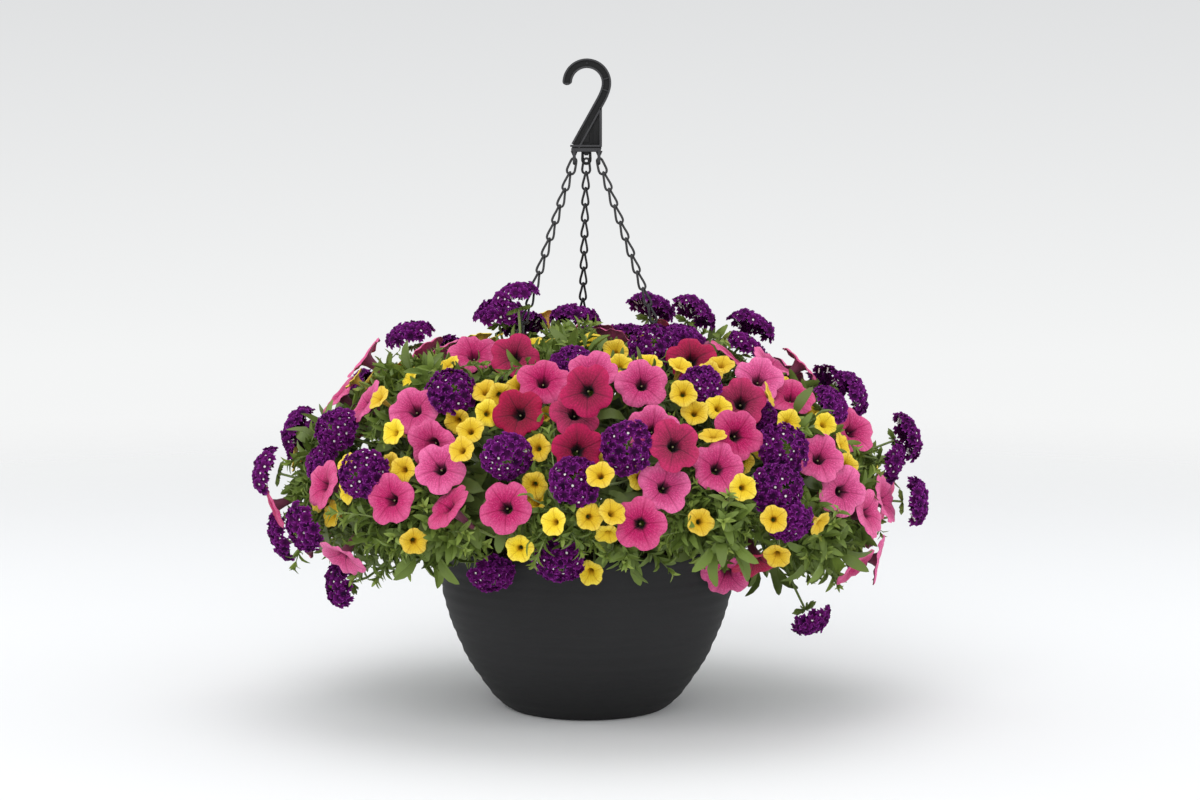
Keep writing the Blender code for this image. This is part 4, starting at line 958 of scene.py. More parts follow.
def find_verbenas(points, near, triangles):
    """The verbena heads of a plant as (centre, facing, start of the stalk)."""
    heads = []
    for a, b, c in triangles:
        pa, pb, pc = points[a], points[b], points[c]
        if max(abs(edge.length - CAP_EDGE) for edge in (pb - pa, pc - pb, pa - pc)) > CAP_SLACK:
            continue
        out = (pb - pa).cross(pc - pa).normalized()
        centre = (pa + pb + pc) / 3 - out * VERBENA_REACH
        for head in heads:
            if (head[0] - centre).length < 0.002:
                head[1].append(out)
                break
        else:
            heads.append((centre, [out]))
    found = []
    for centre, ways in heads:
        facing = max(ways, key=lambda way: sum(way.dot(other) for other in ways))
        core = [i for i, point in enumerate(points) if (point - centre).length < VERBENA_CORE + 0.0005]
        caps = {i for i, point in enumerate(points) if (point - centre).length < CAPS_REACH}
        root = {other for corner in core for other in near[corner]} - caps
        found.append((centre, facing, middle(points, root) if root else centre - facing * 0.03))
    return found


def find_leaves(points, near):
    """The large leaves as (root, tip, side that looks up)."""
    leaves = []
    for tip, others in enumerate(near):
        if len(others) != 3:
            continue
        pairs = ((0, 1, 2), (0, 2, 1), (1, 2, 0))
        a, b, rib = max(pairs, key=lambda pair: (points[others[pair[0]]] - points[others[pair[1]]]).length)
        root = rings_below(near, [tip], 2)[1]
        above = (points[others[a]] + points[others[b]]) / 2 - points[others[rib]]
        leaves.append((middle(points, root), points[tip], above.normalized()))
    return leaves


def find_stem(points, near, fork):
    """The stem's middle line from its foot to its fork."""
    ring = sorted(range(len(points)), key=lambda i: points[i].z)[:3]
    line = [middle(points, ring)]
    for ring in rings_below(near, ring, 6):
        line.append(middle(points, ring))
        if set(ring) & set(fork):
            break
    return line


def read_plant(node):
    """All that a plant's solid says: its kind, stem, forks, blooms and large leaves."""
    kind = "leafy" if node.startswith("leafy") else node.split("_spray")[0]
    points, near, triangles = welded(node)
    forks = find_forks(points, near)
    centres = [middle(points, fork) for fork in forks]
    ring = sorted(range(len(points)), key=lambda i: points[i].z)[:3]
    top = rings_below(near, ring, 4)[-1]
    order = sorted(range(len(forks)), key=lambda k: (centres[k] - middle(points, top)).length)
    blooms = []
    if kind == "verbena":
        blooms = find_verbenas(points, near, triangles)
    elif kind != "leafy":
        blooms = find_funnels(kind, points, near)
    return {
        "kind": kind, "forks": [centres[k] for k in order], "stem": find_stem(points, near, forks[order[0]]),
        "blooms": blooms, "leaves": find_leaves(points, near),
    }


ENDINGS = ("_spray_", "_stem_")
PLANTS = {node: read_plant(node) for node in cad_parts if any(ending in node for ending in ENDINGS)}
print(len(PLANTS), "plants with", sum(len(plant["blooms"]) for plant in PLANTS.values()), "blooms,",
      sum(len(plant["leaves"]) for plant in PLANTS.values()), "large leaves and",
      sum(len(plant["forks"]) for plant in PLANTS.values()), "forks")

# %% [markdown]
# ## Sprigs of leaves
#
# Between the blooms the mound is all small leaves. Hundreds of sprigs fill it: each grows from the nearest
# fork to just under the mound's surface and carries its leaves in opposite pairs, each pair turned a quarter
# from the last, small and upright at the tip and larger and flatter below. Their ends are spread evenly by
# the golden angle. A leaf that would stand in a bloom, in a chain or in the pot is left out.

# %% Where the sprigs end
GUIDE = (
    (0.000, 0.368), (0.110, 0.364), (0.190, 0.347), (0.250, 0.307), (0.292, 0.255), (0.306, 0.205),
    (0.290, 0.160), (0.240, 0.138), (0.185, 0.128),
)
DEPTH_SHARE = 0.84
SKIRT_TOP, SKIRT_LIFT = 0.245, 0.046
SPRIGS = 1000
OPEN_FROM, OPEN_SHARE = 0.62, 0.55
GOLDEN = math.pi * (3 - math.sqrt(5))


def on_guide(share, turn):
    """A place on the mound's surface and the way out of it. share runs from 0 at the crown to 1 below."""
    areas = [0.0]
    for (r0, h0), (r1, h1) in zip(GUIDE, GUIDE[1:]):
        areas.append(areas[-1] + (r0 + r1) / 2 * math.hypot(r1 - r0, h1 - h0))
    wanted = share * areas[-1]
    k = min(i for i in range(len(GUIDE) - 1) if areas[i + 1] >= wanted - 1e-9)
    part = (wanted - areas[k]) / (areas[k + 1] - areas[k])
    (r0, h0), (r1, h1) = GUIDE[k], GUIDE[k + 1]
    radius, height = r0 + (r1 - r0) * part, h0 + (h1 - h0) * part
    lift = SKIRT_LIFT * max(0.0, (SKIRT_TOP - height) / (SKIRT_TOP - GUIDE[-1][1])) * math.sin(turn) ** 2
    out = Vector((-(h1 - h0) * math.cos(turn), -(h1 - h0) * math.sin(turn), r1 - r0)).normalized()
    place = Vector((radius * math.cos(turn), radius * DEPTH_SHARE * math.sin(turn), BASE + height + lift))
    return place, out


def bloom_rooms():
    """Arrays of all blooms: place, facing, radius and depth, for finding leaves that stand in them."""
    places, ways, radii, depths = [], [], [], []
    sizes = {"petunia": (0.0255, 0.036), "petunia_deep": (0.0255, 0.036), "calibrachoa": (0.0132, 0.017)}
    for plant in PLANTS.values():
        for centre, facing, _ in plant["blooms"]:
            radius, depth = sizes.get(plant["kind"], (0.0200, 0.0))
            places.append(centre)
            ways.append(facing)
            radii.append(radius)
            depths.append(depth)
    return np.array(places), np.array(ways), np.array(radii), np.array(depths)


ROOM_PLACES, ROOM_WAYS, ROOM_RADII, ROOM_DEPTHS = bloom_rooms()
CLEAR_AHEAD = 0.040
HEAD_ROOM, HEAD_AHEAD, HEAD_ASIDE = 0.0235, 0.050, 0.020
LOWEST_BY_POT, BY_POT = 0.160, 0.205


def in_bloom(points):
    """Which of the points stand in a bloom or just in front of one."""
    points = np.asarray(points)
    away = points[:, None, :] - ROOM_PLACES[None, :, :]
    along = np.einsum("pbk,bk->pb", away, ROOM_WAYS)
    aside = np.sqrt(np.maximum((away ** 2).sum(-1) - along ** 2, 0.0))
    funnel = ROOM_DEPTHS[None, :] > 0
    ahead = np.clip(0.92 - along / CLEAR_AHEAD * 0.55, 0.0, 0.92)
    behind = np.clip(0.92 + along / (ROOM_DEPTHS[None, :] + 1e-9) * 1.7, 0.12, 0.92)
    limit = ROOM_RADII[None, :] * np.where(along > 0, ahead, behind)
    inside = funnel & (aside < limit) & (along < CLEAR_AHEAD) & (along > -ROOM_DEPTHS[None, :])
    ball = ~funnel & ((away ** 2).sum(-1) < HEAD_ROOM ** 2)
    ball |= ~funnel & (along > 0) & (along < HEAD_AHEAD) & (aside < HEAD_ASIDE)
    return (inside | ball).any(axis=1)


CHAIN_TURNS = (math.radians(-124), math.radians(-4), math.radians(116))
EYELET_ACROSS = (-0.0125, -0.0005, 0.0120)
CHAIN_TOP = -0.0825 - 0.0115 + 0.00165 + 0.0026
EYE_RADIUS, EYE_WIRE, WIRE_GAP = 0.0065, 0.0019, 0.0026
POT_TOP = 0.172
EYE_HEIGHT = BASE + POT_TOP + EYE_RADIUS - 0.0022
EYE_CIRCLE = 0.1545
CLEAR_OF_CHAIN, CLEAR_OF_BOX = 0.0055, 0.003
POT_REACH, POT_LEVEL = 0.163, 0.178


def chain_ends(i):
    """Where chain i leaves its eyelet and where it meets its eye."""
    turn = CHAIN_TURNS[i]
    height = EYE_HEIGHT + EYE_RADIUS - EYE_WIRE - WIRE_GAP
    low = Vector((EYE_CIRCLE * math.sin(turn), EYE_CIRCLE * math.cos(turn), height))
    return Vector((EYELET_ACROSS[i], 0.0, CHAIN_TOP)), low


def in_the_way(points):
    """Which of the points stand in a bloom, a chain or the pot, or outside the solids' box."""
    points = np.asarray(points)
    bad = in_bloom(points)
    for i in range(3):
        top, low = (np.array(end) for end in chain_ends(i))
        along = (low - top) / np.linalg.norm(low - top)
        away = points - top
        aside = np.linalg.norm(away - (away @ along)[:, None] * along, axis=1)
        bad |= (aside < CLEAR_OF_CHAIN) & (points[:, 2] < top[2])
    height = points[:, 2] - BASE
    level = np.hypot(points[:, 0], points[:, 1])
    bad |= (height < POT_LEVEL) & (level < POT_REACH)
    bad |= (height < LOWEST_BY_POT) & (level < BY_POT)
    low, high = np.array(cad_box[0]) + CLEAR_OF_BOX, np.array(cad_box[1]) - CLEAR_OF_BOX
    bad |= ((points < low) | (points > high)).any(axis=1)
    return bad


print("room is kept for", len(ROOM_RADII), "blooms")

# %% [markdown]
# ## Growing the plants
#
# Each plant is grown as a list of parts: its stem and stalks, its blooms with their sepals, its large leaves,
# its sprigs and a few buds. Leaves deep in the mound, painted dark as shade, keep the light from coming
# through it. The parts end up as one mesh in the place of the plant's solid, with one material for each kind
# of surface. Chance is seeded, so the basket always grows the same.

# %% Stalks, blooms and sprigs
LEAF_KINDS = {
    "petunia": ("broad", 0.40, 0.66), "petunia_deep": ("broad", 0.40, 0.66),
    "verbena": ("toothed", 0.42, 0.74), "calibrachoa": ("narrow", 0.28, 0.56),
    "leafy": ("narrow", 0.32, 0.80),
}
LARGE_BLADE, CROWDED_BLADE = 0.66, 0.42
INNER_LEAVES, INNER_DOWN_TO, INNER_WIDE = 760, 0.86, 0.44
INNER_DEPTHS = ((0.060, 0.100), (0.028, 0.050), (0.028, 0.050))
INNER_LENGTHS = ((0.044, 0.060), (0.026, 0.036), (0.026, 0.036))
SMALL_LEAF = 0.0150
SPRIG_LEAFY = 0.055
PAIR_GAP = 0.0068
STANDING_SHARE = 0.16
BUDS = {
    "petunia": ("pink_bud", 0.026), "petunia_deep": ("pink_bud", 0.026),
    "calibrachoa": ("yellow_bud", 0.015),
}
BUD_SHARE = 0.22
STEM_WIDE, STALK_WIDE = 0.0019, 0.00105
SEED = 11


def curve(start, leave, end, arrive, steps):
    """Points on a curve that leaves start one way and arrives at end another way."""
    pull = (end - start).length / 3
    a, b = start + leave * pull, end - arrive * pull
    shares = [k / steps for k in range(steps + 1)]
    return [
        start * (1 - t) ** 3 + a * 3 * t * (1 - t) ** 2 + b * 3 * t ** 2 * (1 - t) + end * t ** 3
        for t in shares
    ]


class Growth:
    """What one plant is made of: copies of models, gathered by model, and tubes."""

    def __init__(self):
        self.wanted, self.tubes = {}, []

    def add(self, model, matrix, tint):
        """Wants one more copy of a model."""
        matrices, tints = self.wanted.setdefault(model, ([], []))
        matrices.append(matrix)
        tints.append(tint)

    def part(self):
        """All the copies and tubes as one part."""
        made = [copies(model, *lists) for model, lists in self.wanted.items()]
        return joined(made + self.tubes)


def grow_funnel(growth, kind, centre, facing, root, fork, dice):
    """A funnel flower on its stalk, with five sepals round the foot of its tube."""
    small = kind == "calibrachoa"
    depth = CALIBRACHOA_DEPTH if small else PETUNIA_DEPTH
    foot = centre - facing * depth
    side = Matrix.Rotation(dice.uniform(0, math.tau), 3, facing) @ facing.orthogonal()
    growth.add(f"{kind}_{dice.randrange(3)}", frame_at(centre, facing, side), dice.random())
    if not small:
        growth.add("stigma", frame_at(centre, facing, side), dice.random())
    leave = (root - fork).normalized()
    path = curve(fork, leave, foot + facing * 0.001, facing, 7)
    radii = [STALK_WIDE * (1.6 - 0.6 * k / 7) for k in range(7)] + [STALK_WIDE * 1.7]
    growth.tubes.append(tube(path, radii, 5, dice.uniform(0.35, 0.8)))
    length, open_by = (0.0075, 0.42) if small else (0.0150, 0.34)
    for k in range(5):
        out = Matrix.Rotation(math.tau * k / 5, 3, facing) @ side
        out = (out - facing * out.dot(facing)).normalized()
        way = (facing + out * open_by).normalized()
        matrix = frame_at(foot - facing * 0.001, way, facing - out, (length * 0.26, length, length))
        growth.add("narrow_leaf_0", matrix, dice.uniform(0.4, 0.8))


FLORETS, HEAD_COVER = 36, 0.96
HEAD_WIDE, HEAD_DEEP, HEAD_LIFT = 0.0168, 0.0130, 0.0040
HEAD_BUDS, HEAD_CALYCES = 7, 10


def grow_verbena(growth, centre, facing, root, fork, dice):
    """A verbena head: florets over a dome, closed green buds in its middle and green calyces below."""
    leave = (root - fork).normalized()
    foot = centre - facing * 0.006
    path = curve(fork, leave, foot, facing, 7)
    radii = [STALK_WIDE * (1.7 - 0.5 * k / 7) for k in range(8)]
    growth.tubes.append(tube(path, radii, 5, dice.uniform(0.35, 0.8)))
    first = facing.orthogonal()
    second = facing.cross(first)
    spin = dice.uniform(0, math.tau)
    for k in range(1, FLORETS):
        polar = math.acos(1 - (k + 0.35) / FLORETS * HEAD_COVER)
        turn = GOLDEN * k + spin
        aside = first * math.cos(turn) + second * math.sin(turn)
        lean = Vector([dice.uniform(-0.30, 0.30) for _ in range(3)])
        way = (aside * math.sin(polar) + facing * (math.cos(polar) * 0.8 + 0.42) + lean).normalized()
        lift = 1 + dice.uniform(-0.08, 0.08)
        place = centre + facing * (HEAD_LIFT + HEAD_DEEP * math.cos(polar) * lift)
        place += aside * HEAD_WIDE * math.sin(polar) * lift
        size = dice.uniform(0.80, 1.02)
        side = Matrix.Rotation(dice.uniform(0, math.tau), 3, way) @ way.orthogonal()
        growth.add("floret", frame_at(place, way, side, (size, size, size)), dice.random())
    for k in range(HEAD_BUDS):
        turn = GOLDEN * k
        out = facing + (first * math.cos(turn) + second * math.sin(turn)) * 0.09 * math.sqrt(k)
        matrix = frame_at(centre + facing * 0.0070, out.normalized(), first, (0.0110, 0.0110, 0.0110))
        growth.add("green_bud", matrix, dice.uniform(0.3, 0.8))
    for k in range(HEAD_CALYCES):
        turn = math.tau * k / HEAD_CALYCES + spin
        out = first * math.cos(turn) + second * math.sin(turn) - facing * 0.25
        matrix = frame_at(centre - facing * 0.006, out, facing, (0.0060, 0.0140, 0.0140))
        growth.add("green_bud", matrix, dice.uniform(0.3, 0.7))


def grow_large_leaf(growth, kind, root, tip, above, dice):
    """One of the solid's own large leaves: a blade up to its tip on a stalk, smaller before a bloom."""
    shape = LEAF_KINDS[kind][0] if kind != "leafy" else dice.choice(("broad", "narrow"))
    crowded = in_bloom([root.lerp(tip, share) for share in (0.4, 0.6, 0.8, 1.0)]).any()
    start = root.lerp(tip, 1 - (CROWDED_BLADE if crowded else LARGE_BLADE))
    length = (tip - start).length
    matrix = frame_at(start, tip - start, above, (length * 0.34, length, length))
    growth.add(f"{shape}_leaf_{dice.randrange(3)}", matrix, dice.uniform(0.10, 0.75))
    growth.tubes.append(tube([root, root.lerp(start, 0.5), start.lerp(tip, 0.06)], [0.0008] * 3, 4, 0.5))


def grow_inner_leaves(growths, forks, spots, dice):
    """Leaves deep in the mound, painted dark as shade, every third deeper and longer, so that no light comes
    through.
    """
    for i in range(INNER_LEAVES):
        place, out = on_guide((i + 0.5) / INNER_LEAVES * INNER_DOWN_TO, GOLDEN * i + 0.4)
        place = place - out * dice.uniform(*INNER_DEPTHS[i % 3])
        turn = Matrix.Rotation(dice.uniform(0, math.tau), 3, out)
        way = (turn @ out.orthogonal() + out * 0.25).normalized()
        length = dice.uniform(*INNER_LENGTHS[i % 3])
        if in_the_way([place, place + way * length * 0.5, place + way * length]).any():
            continue
        node = forks[int(np.argmin(np.linalg.norm(spots - np.array(place), axis=1)))][0]
        matrix = frame_at(place, way, out, (length * INNER_WIDE, length, length))
        # Painted shade: these inner leaves get the darkest tints.
        growths[node].add(f"broad_leaf_{dice.randrange(3)}", matrix, dice.uniform(0.0, 0.2))


def leaves_along(path, kind, reach, dice):
    """Leaf pairs along a sprig, from its tip down: (root, way, above, length, width, model, tint)."""
    shape, width, size = LEAF_KINDS[kind]
    tip_way = (path[-1] - path[-2]).normalized()
    side = Matrix.Rotation(dice.uniform(0, math.tau), 3, tip_way) @ tip_way.orthogonal()
    steps = [(b - a).length for a, b in zip(path, path[1:])]
    found = []
    for k in range(3):
        out = Matrix.Rotation(math.tau * k / 3, 3, tip_way) @ side
        way = (tip_way + out * 0.45).normalized()
        length = dice.uniform(0.011, 0.016) * size
        found.append((path[-1], way, tip_way - out, length, width, shape, dice.uniform(0.72, 1.0)))
    gone = 0.004
    while gone < reach:
        left, k = gone, len(path) - 1
        while k > 0 and left > steps[k - 1]:
            left -= steps[k - 1]
            k -= 1
        if k <= 0:
            break
        place = path[k].lerp(path[k - 1], left / steps[k - 1])
        along = (path[k] - path[k - 1]).normalized()
        side = side - along * side.dot(along)
        side = (Matrix.Rotation(math.pi / 2 + dice.uniform(-0.3, 0.3), 3, along) @ side).normalized()
        share = gone / reach
        angle = math.radians(38 + 34 * share + dice.uniform(-10, 10))
        length = (0.0150 + 0.0150 * min(1.0, share * 1.6)) * size * dice.uniform(0.85, 1.12)
        for sign in (1, -1):
            out = side * sign
            way = along * math.cos(angle) + out * math.sin(angle)
            way += Vector((0, 0, dice.uniform(-0.16, 0.10)))
            above = along * math.sin(angle) - out * math.cos(angle) + Vector((0, 0, 0.35))
            # Painted shade: leaves lower on the sprig, deeper in the mound, get a lower tint and so a darker
            # green.
            tint = 0.78 - 0.55 * share + dice.uniform(-0.16, 0.16)
            found.append((place, way.normalized(), above, length, width, shape, min(1.0, max(0.0, tint))))
        gone += PAIR_GAP * dice.uniform(0.85, 1.25)
    return found


def grow_sprigs(growths, dice):
    """All the sprigs of the mound, each on the nearest plant. Prints how many leaves stand clear."""
    forks = [(node, fork) for node, plant in PLANTS.items() for fork in plant["forks"]]
    spots = np.array([list(fork) for _, fork in forks])
    favour = np.array([0.8 if node.startswith("leafy") else 1.0 for node, _ in forks])
    grow_inner_leaves(growths, forks, spots, dice)
    found = []
    for i in range(SPRIGS):
        share, turn = (i + 0.5) / SPRIGS, GOLDEN * i + dice.uniform(-0.05, 0.05)
        end, out = on_guide(share, turn)
        if share > OPEN_FROM and dice.random() < OPEN_SHARE * abs(math.cos(turn)):
            continue
        standing = dice.random() < STANDING_SHARE
        end = end + out * (dice.uniform(0.002, 0.016) if standing else -dice.uniform(0.002, 0.022))
        gaps = np.linalg.norm(spots - np.array(end), axis=1) * favour
        node, fork = forks[int(np.argmin(gaps))]
        way = end - fork
        bend = fork + way * 0.5 + (out * 0.4 + Vector((0, 0, 0.6))) * way.length * 0.22
        path = bezier(fork, bend, end, 8)
        blocked = in_the_way(path[1:])
        if blocked.any():
            path = path[:int(np.argmax(blocked)) + 1]
        if len(path) < 4:
            continue
        radii = [0.0012 - 0.0006 * k / (len(path) - 1) for k in range(len(path))]
        growths[node].tubes.append(tube(path, radii, 4, dice.uniform(0.3, 0.9)))
        kind = PLANTS[node]["kind"]
        reach = min(SPRIG_LEAFY, way.length * 0.85)
        found += [(node, *leaf) for leaf in leaves_along(path, kind, reach, dice)]
        bud, size = BUDS.get(kind, (None, 0))
        if bud and dice.random() < BUD_SHARE:
            size *= dice.uniform(0.7, 1.1)
            way = path[-1] - path[-2] + out * 0.004
            matrix = frame_at(path[-1], way, Vector((0, 0, 1)), (size, size, size))
            growths[node].add(bud, matrix, 0.5)
    roots = np.array([list(leaf[1]) for leaf in found])
    ways = np.array([list(leaf[2]) for leaf in found])
    lengths = np.array([leaf[4] for leaf in found])[:, None]
    bad = np.zeros(len(found), bool)
    for share in (0.25, 0.6, 1.0):
        bad |= in_the_way(roots + ways * lengths * share)
    for (node, root, way, above, length, width, shape, tint), blocked in zip(found, bad):
        if not blocked:
            matrix = frame_at(root, way, above, (length * width, length, length))
            if length < SMALL_LEAF and shape != "toothed":
                shape = "small_" + shape
            growths[node].add(f"{shape}_leaf_{dice.randrange(3)}", matrix, tint)
    print(len(found), "leaves on the sprigs, of which", int(len(found) - bad.sum()), "stand clear")


def grow_plants():
    """Grows every plant and puts each in the place of its solid."""
    dice = random.Random(SEED)
    growths = {node: Growth() for node in PLANTS}
    for node, plant in PLANTS.items():
        growth, kind = growths[node], plant["kind"]
        main = plant["forks"][0]
        stem = plant["stem"]
        line = bezier(stem[1], (stem[-2] + stem[-3]) / 2, main, 8) if len(stem) > 4 else stem + [main]
        line = [stem[0]] + line
        growth.tubes.append(tube(line, [STEM_WIDE] * len(line), 6, 0.25))
        for fork in plant["forks"]:
            if fork is not main:
                growth.tubes.append(tube(bezier(main, (main + fork) / 2, fork, 3), [0.0016] * 4, 5, 0.4))
        for centre, facing, root in plant["blooms"]:
            if kind == "verbena":
                grow_verbena(growth, centre, facing, root, main, dice)
            else:
                grow_funnel(growth, kind, centre, facing, root, main, dice)
        for root, tip, above in plant["leaves"]:
            grow_large_leaf(growth, kind, root, tip, above, dice)
    grow_sprigs(growths, dice)
    faces = 0
    for node, growth in growths.items():
        part = growth.part()
        part["points"] = np.clip(part["points"], cad_box[0], cad_box[1])
        piece = written(f"grown_{node}", part)
        kind = PLANTS[node]["kind"]
        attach(piece, "root")
        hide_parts(node)
        "leaf" if kind == "leafy" else kind
        faces += int((part["sides"] - 2).sum())
    print(len(growths), "plants with", faces, "triangles")


grow_plants()

# %% [markdown]
# ## The pot and its soil
#
# The pot is turned from one profile: a circle extruded and scaled ring by ring, up the outside with its
# shallow uneven rings, over the rolled rim and down the inside. Four drain holes are cut through its base.
# The soil is the same kind of turned shape, roughened in code with noise, as soil has no form of its own.

# %% Pot and soil
POT_LINE = (
    (0.080, 0.000), (0.0865, 0.004), (0.0975, 0.015), (0.1160, 0.042), (0.1225, 0.053), (0.1338, 0.079),
    (0.1380, 0.090), (0.1445, 0.113), (0.1500, 0.148), (0.1532, 0.158),
)
RIM_LINE = (
    (0.1560, 0.1600), (0.1576, 0.1632), (0.1580, 0.1668), (0.1574, 0.1700), (0.1558, 0.1718),
    (0.1530, 0.1720), (0.1508, 0.1708), (0.1498, 0.1680),
)
INSIDE_LINE = ((0.1472, 0.148), (0.1352, 0.090), (0.1132, 0.042), (0.0850, 0.010), (0.0760, 0.004))
POT_SIDES = 112
DRAINS, DRAIN_RADIUS, DRAIN_CIRCLE = 4, 0.006, 0.050
CROWN_RADIUS, CROWN_FOOT, CROWN_RISE, CROWN_STEPS = 0.1455, 0.1455, 0.0095, 30
CRUMB_HEIGHT, CRUMB_DEPTH = 0.1448, 0.0011


def radius_at(line, height):
    """The radius of a turned line at a height."""
    heights = [point[1] for point in line]
    return float(np.interp(height, heights, [point[0] for point in line]))


def pot_side():
    """The outer side in fine steps, with rings of uneven height and depth."""
    side = []
    for k in range(52):
        height = 0.002 + 0.156 * k / 51
        radius = radius_at(POT_LINE, height)
        ring = math.sin(height * 560 + 0.9 * math.sin(height * 140)) * 0.5 + 0.5
        fade = min(1.0, height / 0.012) * min(1.0, (0.160 - height) / 0.012)
        side.append((radius + 0.0009 * fade * (ring ** 1.5 - 0.55), height))
    return side


def shade_finish(name, mean, grain, depth, roughness, lighter):
    """A moulded plastic: fine grain, soft patches a little lighter, and painted shade darker towards its
    foot.
    """
    material, tree, shader = finish_of(name, mean, roughness=roughness, specular_ior_level=0.22)
    where = put(tree, "ShaderNodeTexCoord").outputs["Object"]
    fine = noise(tree, where, grain, 3.0)
    patches = noise(tree, where, 14.0, 3.0)
    shade = mixed(tree, calc(tree, "MULTIPLY", patches, 0.5), mean, lighter)
    shade = mixed(tree, calc(tree, "MULTIPLY", fine, 0.35), shade, colour(24, 24, 25))
    height = put(tree, "ShaderNodeSeparateXYZ", {0: where}).outputs[2]
    # Painted shade: the colour darkens towards the pot's foot.
    painted_foot_shade = between(tree, height, BASE + 0.085, BASE - 0.030)
    shade = mixed(tree, calc(tree, "MULTIPLY", painted_foot_shade, 0.85), shade, colour(16, 16, 16))
    rough = calc(tree, "MULTIPLY_ADD", fine, 0.2, roughness - 0.1)
    give(tree, shader, base_color=shade, roughness=rough, normal=bumped(tree, fine, depth, 0.7))
    return material


def hook_finish():
    """The hook's black plastic, with a painted highlight on its outer edges and painted shade in its
    channels.
    """
    black = colour(40, 40, 41)
    material, tree, shader = finish_of("hook_plastic", black, roughness=0.5, specular_ior_level=0.2)
    where = put(tree, "ShaderNodeTexCoord").outputs["Object"]
    fine = noise(tree, where, 1300.0, 3.0)
    deep = calc(tree, "ABSOLUTE", put(tree, "ShaderNodeSeparateXYZ", {0: where}).outputs[1])
    # Painted light: paler on the outer edges as a painted highlight and darker in the channels as painted
    # shade, by distance from the band's middle.
    edges = between(tree, deep, 0.0024, 0.0043)
    shade = mixed(tree, edges, colour(20, 20, 21), colour(66, 66, 68))
    shade = mixed(tree, calc(tree, "MULTIPLY", fine, 0.35), shade, colour(24, 24, 25))
    give(tree, shader, base_color=shade, normal=bumped(tree, fine, 0.00018, 0.7))
    return material


def soil_finish():
    """Dark potting soil: crumbs of brown and black with a few pale grains."""
    material, tree, shader = finish_of("soil", colour(52, 40, 32), roughness=0.95, specular_ior_level=0.15)
    where = put(tree, "ShaderNodeTexCoord").outputs["Object"]
    crumbs = noise(tree, where, 260.0, 4.0)
    grains = between(tree, noise(tree, where, 620.0, 1.0), 0.68, 0.74)
    shade = mixed(tree, crumbs, colour(30, 22, 17), colour(84, 64, 48))
    shade = mixed(tree, grains, shade, colour(176, 166, 148))
    give(tree, shader, base_color=shade, normal=bumped(tree, crumbs, 0.0020, 0.9))
    return material


FINISHES["pot_plastic"] = shade_finish(
    "pot_plastic", colour(39, 39, 40), 1500.0, 0.00025, 0.66, colour(52, 52, 54)
)
FINISHES["hook_plastic"] = hook_finish()
FINISHES["soil"] = soil_finish()


def spun(line, sides):
    """A turned shape from (radius, height) points, with its first and last rings filled."""
    radius, height = line[0]
    piece = opened(sides, (0, 0, BASE))
    bpy.ops.transform.resize(value=(radius, radius, 1), center_override=(0, 0, BASE))
    bpy.ops.transform.translate(value=(0, 0, height))
    bpy.ops.mesh.edge_face_add()
    bpy.ops.mesh.select_mode(type="EDGE")
    for wider, higher in line[1:]:
        extruded(higher - height, wider / radius, wider / radius, (0, 0, BASE + higher))
        radius, height = wider, higher
    bpy.ops.mesh.edge_face_add()
    bpy.ops.mesh.select_mode(type="VERT")
    bpy.ops.mesh.select_all(action="SELECT")
    bpy.ops.mesh.normals_make_consistent(inside=False)
    bpy.ops.object.mode_set(mode="OBJECT")
    return piece


def settled(piece, name, node):
    """Moves a piece's place into its mesh and puts it in the place of its solid."""
    bpy.ops.object.select_all(action="DESELECT")
    piece.select_set(True)
    bpy.context.view_layer.objects.active = piece
    bpy.ops.object.transform_apply(location=True, rotation=True, scale=True)
    piece.name = name
    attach(piece, "root")
    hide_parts(node)
    return piece


def make_pot():
    """The pot with its drain holes and the three eyes that the chains hook on."""
    pot = spun([(0.080, 0.0), *pot_side(), *RIM_LINE, *INSIDE_LINE], POT_SIDES)
    for i in range(DRAINS):
        turn = math.tau * (i + 0.5) / DRAINS
        place = (DRAIN_CIRCLE * math.cos(turn), DRAIN_CIRCLE * math.sin(turn), BASE)
        bpy.ops.mesh.primitive_cylinder_add(vertices=20, radius=DRAIN_RADIUS, depth=0.030, location=place)
        cutter = bpy.context.object
        hole = pot.modifiers.new("drain", "BOOLEAN")
        hole.operation = "DIFFERENCE"
        hole.object = cutter
        bpy.context.view_layer.objects.active = pot
        bpy.ops.object.modifier_apply(modifier=hole.name)
        bpy.data.objects.remove(cutter)
    for turn in CHAIN_TURNS:
        place = (EYE_CIRCLE * math.sin(turn), EYE_CIRCLE * math.cos(turn), EYE_HEIGHT)
        bpy.ops.mesh.primitive_torus_add(
            major_segments=28, minor_segments=10, major_radius=EYE_RADIUS, minor_radius=EYE_WIRE,
            location=place, rotation=(math.pi / 2, 0, math.pi / 2 - turn),
        )
        bpy.context.object.select_set(True)
        pot.select_set(True)
        bpy.context.view_layer.objects.active = pot
        bpy.ops.object.join()
    pot.data.materials.clear()
    pot.data.materials.append(FINISHES["pot_plastic"])
    bpy.ops.object.shade_smooth_by_angle(angle=math.radians(38))
    return settled(pot, "pot_shell", "pot")


